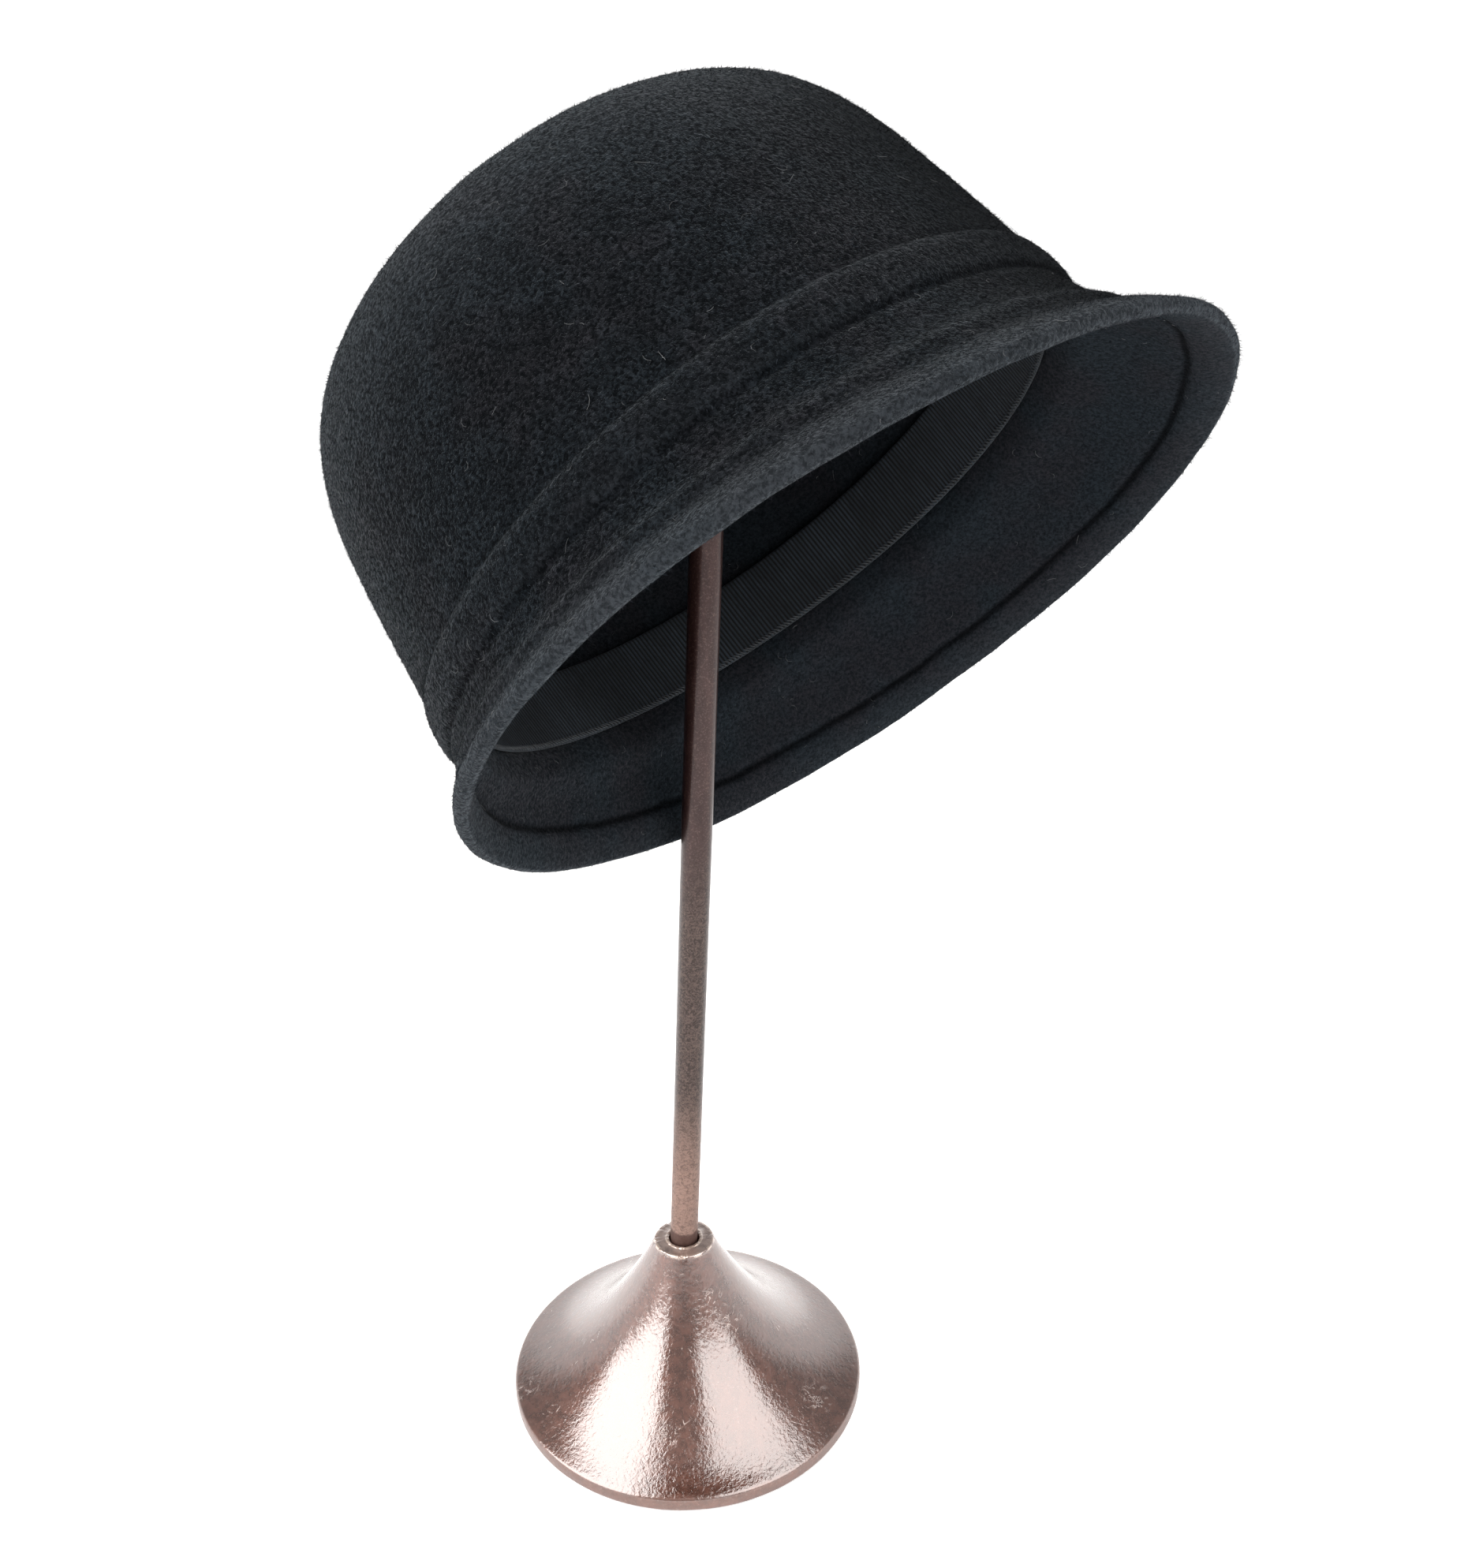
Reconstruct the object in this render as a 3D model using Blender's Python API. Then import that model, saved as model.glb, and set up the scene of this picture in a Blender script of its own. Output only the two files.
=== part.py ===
"""Cloche hat on a plain display stand.

Frame, in metres: +Z up, the origin at the middle of the stand's underside, +X towards the hat's front.
The hat has a frame of its own, +x to its front, +y to its left, +z up through the crown, with its origin
in the plane where crown and brim meet. It is tilted on the stand by the two named angles.
"""

import math

import bmesh
import bpy
import numpy as np
from mathutils import Matrix, Vector
from mathutils.bvhtree import BVHTree

MM = 0.001

# Stand. The rim's rounded corners run from level to the two angles, in degrees. The flare is part
# straight cone, by the share BASE_FLARE_CONE, and part hollow curve of the power BASE_FLARE_POWER.
BASE_RADIUS = 66.8 * MM
BASE_RIM_HEIGHT = 6.0 * MM
BASE_RIM_ROUND = 1.4 * MM
RIM_UNDERSIDE_AT = -60.0
RIM_UPPERSIDE_AT = 80.0
BASE_HEIGHT = 66.4 * MM
BASE_FLARE_POWER = 2.4
BASE_FLARE_CONE = 0.35
COLLAR_RADIUS = 11.1 * MM
COLLAR_ROUND = 0.7 * MM
ROD_RADIUS = 5.0 * MM
ROD_SEAT_DEPTH = 28.0 * MM
ROD_MOUTH_RADIUS = 6.2 * MM
ROD_MOUTH_DEPTH = 1.6 * MM
ROD_LEAN = math.radians(2.9)
ROD_LEAN_TOWARDS = math.radians(-33.8)
ROD_END_ROUND = 0.6 * MM
KNOB_RADIUS = 14.0 * MM
KNOB_BORE_DEPTH = 12.0 * MM
PART_GAP = 0.3 * MM

# Hat: pose on the stand
HAT_CENTRE = Vector((14.7 * MM, -38.7 * MM, 324.4 * MM))
HAT_NOSE_UP = math.radians(18.4)
HAT_LEFT_DOWN = math.radians(47.2)

# Hat: crown
CROWN_HALF_LENGTH = 106.7 * MM
CROWN_HALF_WIDTH = 90.5 * MM
CROWN_HEIGHT = 107.5 * MM
CROWN_TAPER = 0.14
CROWN_SHOULDER_POWER = 7.4
CROWN_TIP_POWER = 3.9
CROWN_TIP_DOME = 2.0 * MM

# Hat: band round the foot of the crown, lower at front and back than at the sides
BAND_TOP = 15.4 * MM
BAND_FOOT = 2.4 * MM
BAND_DIP = 1.9 * MM
BAND_RELIEF = 1.5 * MM

# Hat: brim, measured along its slope at the front, and the relief of its ridge and hem
BRIM_FRONT = 44.0 * MM
BRIM_RELIEF = 0.9 * MM

# Hat: felt and hem
FELT = 2.4 * MM
HEM_WIDTH = 12.0 * MM
HEM_THICKNESS = 4.8 * MM
TUCK_THICKNESS = 3.0 * FELT
TUCK_FULL_AT = 0.6

# Hat: sweatband ribbon inside the foot of the crown
RIBBON_FOOT = 6.4 * MM
RIBBON_HEIGHT = 24.0 * MM
RIBBON_THICKNESS = 0.8 * MM

# Facets
AROUND_HAT = 70
AROUND_BASE = 56
AROUND_ROD = 24
AROUND_KNOB = 24

# Brim by direction, anticlockwise from the front seen from above.
# Columns: direction in degrees, length as a share of BRIM_FRONT from the crown's foot to the edge,
# drop in degrees below level at the crown, drop in degrees at the edge.
BRIM_COLUMNS = ("direction", "length", "drop at crown", "drop at edge")
BRIM = (
    (0.0, 1.00, 72.0, 43.0),
    (45.0, 0.97, 72.0, 44.0),
    (90.0, 0.84, 72.0, 48.5),
    (135.0, 0.61, 72.0, 49.0),
    (180.0, 0.41, 72.0, 39.0),
    (225.0, 0.48, 72.0, 46.0),
    (270.0, 0.73, 72.0, 45.5),
    (315.0, 0.87, 72.0, 41.0),
)

# Crown rings as shares of the crown's height, tip to band.
CROWN_RINGS = (0.999, 0.992, 0.975, 0.95, 0.915, 0.87, 0.81, 0.73, 0.63, 0.52, 0.40, 0.29)

# Band rings, top to foot. Columns: share of the band's height measured down from its top edge,
# share of BAND_RELIEF that the felt stands out from the plain crown.
BAND_RINGS = (
    (-0.16, 0.00),
    (-0.03, 0.05),
    (0.03, 0.65),
    (0.20, 1.00),
    (0.60, 0.95),
    (0.88, 0.60),
    (1.00, -0.35),
    (1.12, 0.15),
)

# Brim rings, crown to hem. Columns: share of the brim's length, share of BRIM_RELIEF of the upper side.
BRIM_RINGS = (
    (0.02, 0.10),
    (0.14, -0.25),
    (0.26, -0.25),
    (0.35, 0.30),
    (0.42, 1.00),
    (0.49, 0.20),
    (0.57, -0.25),
    (0.66, 0.10),
    (0.74, 0.75),
    (0.87, 1.00),
)

# Rings round the hem's edge, in degrees from its upper to its under side.
HEM_EDGE_RINGS = (62.0, 31.0, 0.0, -31.0, -62.0)


def brim_value(name, angle):
    """One column of BRIM at a direction in radians, smooth and closed all the way round."""
    column = BRIM_COLUMNS.index(name)
    count = len(BRIM)
    place = (angle / (2.0 * math.pi)) % 1.0 * count
    index = int(place) % count
    t = place - int(place)
    a, b, c, d = (BRIM[(index + k) % count][column] for k in (-1, 0, 1, 2))
    return 0.5 * (2.0 * b + (c - a) * t + (2.0 * a - 5.0 * b + 4.0 * c - d) * t ** 2
                  + (3.0 * b - a - 3.0 * c + d) * t ** 3)


def crown_share(height_share):
    """Half-width of the crown at a share of its height, as a share of that at its foot."""
    t = max(height_share, 0.0)
    round_off = max(1.0 - t ** CROWN_SHOULDER_POWER, 0.0) ** (1.0 / CROWN_TIP_POWER)
    return round_off * (1.0 - CROWN_TAPER * height_share)


def oval(angle, half_length, half_width):
    return np.array((half_length * math.cos(angle), half_width * math.sin(angle)))


def oval_outward(angle, half_length, half_width):
    n = np.array((math.cos(angle) / half_length, math.sin(angle) / half_width))
    return n / np.linalg.norm(n)


def dip(angle):
    return BAND_DIP * math.cos(angle) ** 2


def crown_point(angle, z):
    """Point of the plain crown's outer side at a direction and height."""
    share = crown_share(z / CROWN_HEIGHT)
    xy = oval(angle, CROWN_HALF_LENGTH * share, CROWN_HALF_WIDTH * share)
    dome = CROWN_TIP_DOME * max(1.0 - (share / (1.0 - CROWN_TAPER)) ** 2, 0.0)
    return np.array((xy[0], xy[1], z + dome))


def brim_point(angle, share):
    """Point of the plain brim's upper side at a direction and a share of the brim's length."""
    length = brim_value("length", angle) * BRIM_FRONT
    drop_in = math.radians(brim_value("drop at crown", angle))
    drop_out = math.radians(brim_value("drop at edge", angle))
    turn = drop_out - drop_in
    out = length * (math.sin(drop_in + turn * share) - math.sin(drop_in)) / turn
    down = length * (math.cos(drop_in) - math.cos(drop_in + turn * share)) / turn
    start = crown_point(angle, -dip(angle))
    n = oval_outward(angle, CROWN_HALF_LENGTH, CROWN_HALF_WIDTH)
    return start + np.array((n[0] * out, n[1] * out, -down))


def directions(count):
    return [2.0 * math.pi * k / count for k in range(count)]


def surface_normals(rings):
    """Outward unit normal at every point of a grid of rings that runs from the tip to the edge."""
    grid = np.array(rings)
    along = np.gradient(grid, axis=0)
    around = np.roll(grid, -1, axis=1) - np.roll(grid, 1, axis=1)
    n = np.cross(along, around)
    return n / np.linalg.norm(n, axis=2, keepdims=True)


def felt_grid():
    """Plain outer surface of crown and brim as rings, with relief and wall thickness of each ring."""
    turns = directions(AROUND_HAT)
    rings, relief, wall = [], [], []
    for share in CROWN_RINGS:
        rings.append([crown_point(a, share * CROWN_HEIGHT) for a in turns])
        relief.append(0.0)
        wall.append(FELT)
    band = BAND_TOP - BAND_FOOT
    for share, out in BAND_RINGS:
        rings.append([crown_point(a, BAND_TOP - dip(a) - share * band) for a in turns])
        relief.append(out * BAND_RELIEF)
        wall.append(FELT + (TUCK_THICKNESS - FELT) * min(max(share / TUCK_FULL_AT, 0.0), 1.0))
    for share, out in BRIM_RINGS:
        rings.append([brim_point(a, share) for a in turns])
        relief.append(out * BRIM_RELIEF)
        wall.append(FELT + (TUCK_THICKNESS - FELT) * max(1.0 - share / 0.26, 0.0))
    return rings, relief, wall


def felt_rings():
    """Closed run of rings: down the outer side, round the hem, and up the inner side."""
    rings, relief, wall = felt_grid()
    normals = surface_normals(rings)
    grid = np.array(rings)
    turns = directions(AROUND_HAT)
    outer = [grid[k] + normals[k] * relief[k] for k in range(len(rings))]

    edge_radius = 0.5 * HEM_THICKNESS
    lengths = np.array([brim_value("length", a) * BRIM_FRONT for a in turns])
    hem_shares = 1.0 - HEM_WIDTH / lengths
    edge_shares = 1.0 - edge_radius / lengths
    rim = np.array([brim_point(a, s) for a, s in zip(turns, edge_shares)])
    tip = np.array([brim_point(a, 1.0) for a in turns])
    along = tip - rim
    along /= np.linalg.norm(along, axis=1, keepdims=True)
    around = np.roll(rim, -1, axis=0) - np.roll(rim, 1, axis=0)
    out = np.cross(along, around)
    out /= np.linalg.norm(out, axis=1, keepdims=True)
    middle = rim + out * (relief[-1] - edge_radius)
    edge = []
    for degrees in HEM_EDGE_RINGS:
        a = math.radians(degrees)
        edge.append(middle + edge_radius * (math.sin(a) * out + math.cos(a) * along))

    under = []
    hem_depth = HEM_THICKNESS - relief[-1]
    for add, depth in ((0.5, hem_depth), (0.1, hem_depth - 0.4 * MM), (0.0, FELT + 0.5 * MM),
                       (-0.12, FELT)):
        shares = hem_shares + add * (HEM_WIDTH / lengths)
        points = np.array([brim_point(a, s) for a, s in zip(turns, shares)])
        slope = np.array([brim_point(a, s + 0.02) for a, s in zip(turns, shares)]) - points
        sweep = np.roll(points, -1, axis=0) - np.roll(points, 1, axis=0)
        n = np.cross(slope, sweep)
        n /= np.linalg.norm(n, axis=1, keepdims=True)
        under.append(points - n * depth)
    inner = []
    for k in range(len(rings) - 1, -1, -1):
        inner.append(grid[k] - normals[k] * wall[k])
    first_brim = len(CROWN_RINGS) + len(BAND_RINGS)
    keep = []
    for k, ring in enumerate(inner):
        index = len(rings) - 1 - k
        if index >= first_brim:
            share = BRIM_RINGS[index - first_brim][0]
            if share > 0.30:
                continue
        keep.append((index, ring))
    skip = {1, first_brim - 2, first_brim - 6, first_brim - 7}
    inside = [ring for index, ring in keep if index not in skip]
    return outer, edge, under, inside


def hat_matrix():
    return (Matrix.Translation(HAT_CENTRE) @ Matrix.Rotation(-HAT_NOSE_UP, 4, "Y")
            @ Matrix.Rotation(-HAT_LEFT_DOWN, 4, "X"))


def add_loft(name, rings, start_tip, end_tip, matrix, colour, roughness, metallic=0.0, closed=False):
    """One closed body from a run of rings with as many points each.

    The ends close on a tip point; with closed, the last ring joins the first instead.
    """
    mesh = bpy.data.meshes.new(name)
    bm = bmesh.new()
    rows = [[bm.verts.new(matrix @ Vector(point)) for point in ring] for ring in rings]
    pairs = list(zip(rows, rows[1:]))
    if closed:
        pairs.append((rows[-1], rows[0]))
    for upper, lower in pairs:
        for k in range(len(upper)):
            n = (k + 1) % len(upper)
            bm.faces.new((upper[k], lower[k], lower[n], upper[n]))
    if not closed:
        for row, tip in ((rows[0], start_tip), (rows[-1], end_tip)):
            centre = bm.verts.new(matrix @ Vector(tip))
            for k in range(len(row)):
                n = (k + 1) % len(row)
                ends = (row[k], row[n]) if row is rows[0] else (row[n], row[k])
                bm.faces.new((centre, *ends))
    bmesh.ops.recalc_face_normals(bm, faces=bm.faces)
    for face in bm.faces:
        face.smooth = True
    bm.to_mesh(mesh)
    bm.free()
    obj = bpy.data.objects.new(name, mesh)
    bpy.context.scene.collection.objects.link(obj)
    material = bpy.data.materials.new(name)
    material.use_nodes = True
    shader = material.node_tree.nodes["Principled BSDF"]
    shader.inputs["Base Color"].default_value = (*colour, 1.0)
    shader.inputs["Roughness"].default_value = roughness
    shader.inputs["Metallic"].default_value = metallic
    mesh.materials.append(material)
    return obj


def circle(radius, z, count):
    return [(radius * math.cos(a), radius * math.sin(a), z) for a in directions(count)]


def round_corner(radius, z, size, first, last, steps):
    """Profile points of a rounded corner whose centre is at radius and z."""
    points = []
    for k in range(steps + 1):
        a = math.radians(first + (last - first) * k / steps)
        points.append((radius + size * math.cos(a), z + size * math.sin(a)))
    return points


def build_felt():
    outer, edge, under, inside = felt_rings()
    matrix = hat_matrix()
    top = (0.0, 0.0, CROWN_HEIGHT + CROWN_TIP_DOME)
    inner_top = (0.0, 0.0, CROWN_HEIGHT + CROWN_TIP_DOME - FELT)
    felt = add_loft("felt_body", outer + edge + under + inside, top, inner_top, matrix,
                    (0.012, 0.013, 0.014), 0.95)
    points = [matrix @ Vector(p) for ring in inside for p in ring] + [matrix @ Vector(inner_top)]
    faces = []
    for row in range(len(inside) - 1):
        for k in range(AROUND_HAT):
            n = (k + 1) % AROUND_HAT
            a, b = row * AROUND_HAT, (row + 1) * AROUND_HAT
            faces.append((a + k, a + n, b + n, b + k))
    last = (len(inside) - 1) * AROUND_HAT
    for k in range(AROUND_HAT):
        faces.append((last + k, last + (k + 1) % AROUND_HAT, len(points) - 1))
    return felt, BVHTree.FromPolygons(points, faces)


def ribbon_half_sizes():
    """Half-length and half-width of the ribbon's inner face, which is sewn against the folded tuck."""
    seat = crown_share((BAND_TOP - TUCK_FULL_AT * (BAND_TOP - BAND_FOOT)) / CROWN_HEIGHT)
    inset = TUCK_THICKNESS + 1.5 * PART_GAP + RIBBON_THICKNESS
    return CROWN_HALF_LENGTH * seat - inset, CROWN_HALF_WIDTH * seat - inset


def build_sweatband():
    turns = directions(AROUND_HAT)
    half_length, half_width = ribbon_half_sizes()
    rings = []
    for out, z in ((0.0, 0.0), (RIBBON_THICKNESS, 0.0), (RIBBON_THICKNESS, 0.5), (RIBBON_THICKNESS, 1.0),
                   (0.0, 1.0), (0.0, 0.5)):
        ring = []
        for a in turns:
            xy = oval(a, half_length, half_width) + oval_outward(a, half_length, half_width) * out
            ring.append((xy[0], xy[1], RIBBON_FOOT - dip(a) + z * RIBBON_HEIGHT))
        rings.append(ring)
    return add_loft("sweatband", rings, None, None, hat_matrix(), (0.02, 0.02, 0.022), 0.7, closed=True)


def rod_axis():
    """Foot and direction of the rod: it stands in the middle of the collar and leans a little."""
    direction = Vector((math.sin(ROD_LEAN) * math.cos(ROD_LEAN_TOWARDS),
                        math.sin(ROD_LEAN) * math.sin(ROD_LEAN_TOWARDS), math.cos(ROD_LEAN)))
    return Vector((0.0, 0.0, BASE_HEIGHT)), direction


def rod_matrix():
    """Frame whose +z runs up the rod, with its origin at the collar's top."""
    foot, direction = rod_axis()
    return Matrix.Translation(foot) @ Vector((0.0, 0.0, 1.0)).rotation_difference(direction).to_matrix().to_4x4()


def build_base():
    seat_radius = ROD_RADIUS + PART_GAP
    outline = [(BASE_RADIUS - BASE_RIM_ROUND, 0.0)]
    outline += round_corner(BASE_RADIUS - BASE_RIM_ROUND, BASE_RIM_ROUND, BASE_RIM_ROUND,
                            RIM_UNDERSIDE_AT, 0.0, 2)
    outline += round_corner(BASE_RADIUS - BASE_RIM_ROUND, BASE_RIM_HEIGHT - BASE_RIM_ROUND, BASE_RIM_ROUND,
                            0.0, RIM_UPPERSIDE_AT, 3)
    flare_foot = BASE_RADIUS - 2.0 * BASE_RIM_ROUND
    span = flare_foot - COLLAR_RADIUS
    rise = BASE_HEIGHT - COLLAR_ROUND - BASE_RIM_HEIGHT
    for share in (0.90, 0.78, 0.65, 0.52, 0.40, 0.29, 0.19, 0.10, 0.03, 0.0):
        climb = 1.0 - share
        curve = BASE_FLARE_CONE * climb + (1.0 - BASE_FLARE_CONE) * climb ** BASE_FLARE_POWER
        outline.append((COLLAR_RADIUS + span * share, BASE_RIM_HEIGHT + rise * curve))
    outline.append((COLLAR_RADIUS - COLLAR_ROUND, BASE_HEIGHT))
    rings = [circle(radius, z, AROUND_BASE) for radius, z in outline]
    lean = rod_matrix()
    bore = ((ROD_MOUTH_RADIUS, 0.0), (ROD_MOUTH_RADIUS, -ROD_MOUTH_DEPTH), (seat_radius, -ROD_MOUTH_DEPTH),
            (seat_radius, -ROD_SEAT_DEPTH))
    for radius, z in bore:
        rings.append([tuple(lean @ Vector(p)) for p in circle(radius, z, AROUND_BASE)])
    seat_floor = tuple(lean @ Vector((0.0, 0.0, -ROD_SEAT_DEPTH)))
    return add_loft("stand_base", rings, (0.0, 0.0, 0.0), seat_floor, Matrix.Identity(4),
                    (0.16, 0.09, 0.08), 0.3, metallic=1.0)


def knob_height(inner_felt):
    """Height along the rod of the knob's centre, where it comes up under the felt with the part gap."""
    lean = rod_matrix()
    reach = KNOB_RADIUS + PART_GAP

    def clear(height):
        return inner_felt.find_nearest(lean @ Vector((0.0, 0.0, height)))[3] - reach

    low = HAT_CENTRE.z - BASE_HEIGHT + 0.5 * CROWN_HALF_WIDTH
    step = 1.0 * MM
    while clear(low + step) > 0.0:
        low += step
    high = low + step
    for _ in range(30):
        middle = 0.5 * (low + high)
        if clear(middle) > 0.0:
            low = middle
        else:
            high = middle
    return low


def build_rod_and_knob(inner_felt):
    centre = knob_height(inner_felt)
    lean = rod_matrix()
    bottom = -ROD_SEAT_DEPTH + PART_GAP
    top = centre - KNOB_RADIUS + KNOB_BORE_DEPTH - PART_GAP
    outline = [(ROD_RADIUS - ROD_END_ROUND, bottom), (ROD_RADIUS, bottom + ROD_END_ROUND)]
    for share in (0.25, 0.5, 0.75):
        outline.append((ROD_RADIUS, bottom + (top - bottom) * share))
    outline += [(ROD_RADIUS, top - ROD_END_ROUND), (ROD_RADIUS - ROD_END_ROUND, top)]
    rod = add_loft("stand_rod", [circle(r, z, AROUND_ROD) for r, z in outline], (0.0, 0.0, bottom),
                   (0.0, 0.0, top), lean, (0.30, 0.22, 0.20), 0.45, metallic=1.0)

    bore_radius = ROD_RADIUS + PART_GAP
    mouth = centre - KNOB_RADIUS
    lip = math.asin((bore_radius + ROD_END_ROUND) / KNOB_RADIUS)
    outline = [(bore_radius, mouth + KNOB_BORE_DEPTH)]
    outline.append((bore_radius, centre - KNOB_RADIUS * math.cos(lip) + 0.3 * ROD_END_ROUND))
    steps = 9
    for k in range(steps):
        a = lip + (math.pi - lip) * k / steps
        outline.append((KNOB_RADIUS * math.sin(a), centre - KNOB_RADIUS * math.cos(a)))
    knob = add_loft("rod_knob", [circle(r, z, AROUND_KNOB) for r, z in outline],
                    (0.0, 0.0, mouth + KNOB_BORE_DEPTH), (0.0, 0.0, centre + KNOB_RADIUS), lean,
                    (0.03, 0.03, 0.03), 0.5)
    return rod, knob


def main():
    for obj in list(bpy.data.objects):
        bpy.data.objects.remove(obj, do_unlink=True)
    _, inner_felt = build_felt()
    build_sweatband()
    build_base()
    build_rod_and_knob(inner_felt)


main()
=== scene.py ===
"""Cloche hat of black velour felt on a cast metal display stand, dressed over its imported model."""

import math

import bpy
import numpy as np
from mathutils import Matrix, Vector, noise
from mathutils.kdtree import KDTree


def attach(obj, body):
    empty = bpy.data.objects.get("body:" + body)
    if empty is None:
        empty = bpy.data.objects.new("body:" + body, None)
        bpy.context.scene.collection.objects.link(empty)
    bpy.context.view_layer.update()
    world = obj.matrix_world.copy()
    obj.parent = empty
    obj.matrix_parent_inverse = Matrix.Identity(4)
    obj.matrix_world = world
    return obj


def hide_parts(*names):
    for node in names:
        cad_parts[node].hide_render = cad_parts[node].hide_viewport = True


bl_info = {
    "name": "Cloche Hat on a Display Stand",
    "version": (1, 0, 0),
    "blender": (4, 5, 0),
    "location": "3D View > Sidebar > Cloche Hat",
    "description": "Builds a velour felt cloche hat, its ribbon sweatband and its display stand",
    "category": "Object",
}

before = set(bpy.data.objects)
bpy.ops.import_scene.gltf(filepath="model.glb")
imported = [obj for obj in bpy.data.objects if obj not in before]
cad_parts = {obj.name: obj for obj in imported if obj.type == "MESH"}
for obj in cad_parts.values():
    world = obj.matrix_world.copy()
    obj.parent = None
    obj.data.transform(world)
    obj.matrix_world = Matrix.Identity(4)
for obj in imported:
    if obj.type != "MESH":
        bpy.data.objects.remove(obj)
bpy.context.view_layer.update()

UNSTRETCHED = (1.0, 1.0, 1.0)
WHITE = (1.0, 1.0, 1.0, 1.0)

# The hat's own frame on the stand: x to its front, y to its left, z up through the crown
HAT_FRAME = (Matrix.Translation((0.0147, -0.0387, 0.3244))
             @ Matrix.Rotation(math.radians(-18.4), 4, "Y") @ Matrix.Rotation(math.radians(-47.2), 4, "X"))
# The ribbon's foot over the plane where crown and brim meet, and how far it dips at front and back
RIBBON_FOOT = 0.0064
BAND_DIP = 0.0019
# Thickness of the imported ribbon
PACKED_RIBBON = 0.0008
# Folds of the hem's step that are sharper than this are kept crisp when the felt is smoothed
FOLD_ANGLE = math.radians(33.0)
FOLD_CREASE = 0.8
# Places round the brim where its lowest edge is measured
EDGE_PLACES = 280
# Width of the strip along the brim's edge that is paler: partly rubbed, partly painted sheen
WORN_AND_SHEEN_WIDTH = 0.022
# Height in the hat's frame that parts the crown's nap from the brim's
NAP_PARTING = 0.014
# How far the rod leans from upright, and towards which side
ROD_LEAN = math.radians(2.9)
ROD_LEAN_TOWARDS = math.radians(-33.8)
# Places on the flare where the coating is scuffed, and how wide each scuff is
SCUFFS = (
    ((-0.0005, -0.0205, 0.0480), 0.0100),
    ((0.0034, -0.0248, 0.0408), 0.0100),
    ((0.0265, -0.0480, 0.0110), 0.0090),
    ((-0.0314, -0.0355, 0.0158), 0.0060),
    ((-0.0594, 0.0206, 0.0071), 0.0080),
)
# Facets round the base, and steps up its flare
BASE_FACETS = 336
FLARE_STEPS = 44
# Rounding at the collar's top edge
COLLAR_ROUND = 0.0007
# Facets round the rod, and rings along it
ROD_FACETS = 64
ROD_RINGS = 60
# Height of the two soft panels over the floor, in metres
PANEL_HEIGHT = 1.6
# The panels' names, their corners as shares of that height, and how strongly they glow
PANELS = (
    ("soft_left", ((-0.13, 0.20), (-4.3, -0.15), (-3.7, -2.7), (-1.6, -2.7), (-0.36, -0.62)), 5.2),
    ("soft_right", ((0.02, 0.24), (0.52, 0.22), (2.8, -1.1), (2.9, -1.8), (0.60, -2.2)), 3.6),
)
# The camera, found from the photograph's perspective: its frame and focal length in the photograph's pixels,
# the row level with its axis, and its place before it is turned round the stand
PHOTO_WIDTH = 1861.0
PHOTO_MIDDLE_ROW = 994.0
AXIS_ROW = 1150.0
FOCAL_LENGTH = 1800.0
SENSOR_WIDTH = 36.0
CAMERA_PLACE = (0.0199, -0.4160, 0.4127)


def rod_frame(collar_height):
    """The rod's own frame: z up the rod, with the origin at the collar's top."""
    axis = Vector((-math.sin(ROD_LEAN_TOWARDS), math.cos(ROD_LEAN_TOWARDS), 0.0))
    return Matrix.Translation((0.0, 0.0, collar_height)) @ Matrix.Rotation(ROD_LEAN, 4, axis)


# Settings

def metres(name, description, default):
    return bpy.props.FloatProperty(name=name, description=description, default=default, unit="LENGTH")


def shade(name, description, default):
    return bpy.props.FloatVectorProperty(name=name, description=description, default=default, size=3,
                                         subtype="COLOR")


def degrees(name, description, default):
    return bpy.props.FloatProperty(name=name, description=description, default=math.radians(default),
                                   subtype="ANGLE")


class HatSettings(bpy.types.PropertyGroup):
    """Sizes and colours of the hat."""

    smoothing: bpy.props.IntProperty(
        name="Smoothing", description="Subdivision levels of the felt", default=2, min=1, max=2)
    waviness: metres("Waviness", "How far the blocked felt strays from its plain shape", 0.0007)
    hem_width: metres("Hem Width", "Width of the turned-under hem", 0.0122)
    hem_groove: metres("Hem Groove", "Half-width of the groove where the hem is stitched down", 0.0015)
    nap_length: metres("Nap Length", "Length of the felt's raised fibres", 0.0009)
    nap_width: metres("Nap Width", "Thickness of a raised fibre at its root", 0.00007)
    nap_count: bpy.props.IntProperty(
        name="Nap Count", description="Raised fibres in each of the nap pieces", default=46000)
    lint_count: bpy.props.IntProperty(
        name="Lint Count", description="Loose pale fibres caught in the nap", default=900)
    felt_dark: shade("Felt Dark", "Felt where the nap lies away from the light", (0.0016, 0.0021, 0.0026))
    felt_cool: shade("Felt Cool", "Felt where the nap stands up", (0.0122, 0.0160, 0.0198))
    felt_warm: shade("Felt Warm", "Felt where the dye has a brown cast", (0.0150, 0.0150, 0.0180))
    # Paler felt along the brim's edge and on ridges: partly rubbed, partly painted sheen
    felt_worn_and_sheen: shade("Felt Worn", "Felt rubbed paler along the brim's edge", (0.048, 0.055, 0.063))
    lint_colour: shade("Lint Colour", "Loose fibres", (0.11, 0.115, 0.12))
    ribbon_colour: shade("Ribbon Colour", "Sweatband ribbon", (0.0100, 0.0138, 0.0182))
    ribbon_height: metres("Ribbon Height", "Width of the sweatband ribbon", 0.024)
    ribbon_thickness: metres("Ribbon Thickness", "Thickness of the sweatband ribbon", 0.0008)
    rib_count: bpy.props.IntProperty(
        name="Rib Count", description="Woven ribs all round the ribbon", default=440)
    rib_depth: metres("Rib Depth", "Height of a rib over the hollow beside it", 0.00028)
    stitch_spacing: metres("Stitch Spacing", "Distance from stitch to stitch along the ribbon", 0.0013)
    stitch_length: metres("Stitch Length", "Length of one stitch", 0.0024)


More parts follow.
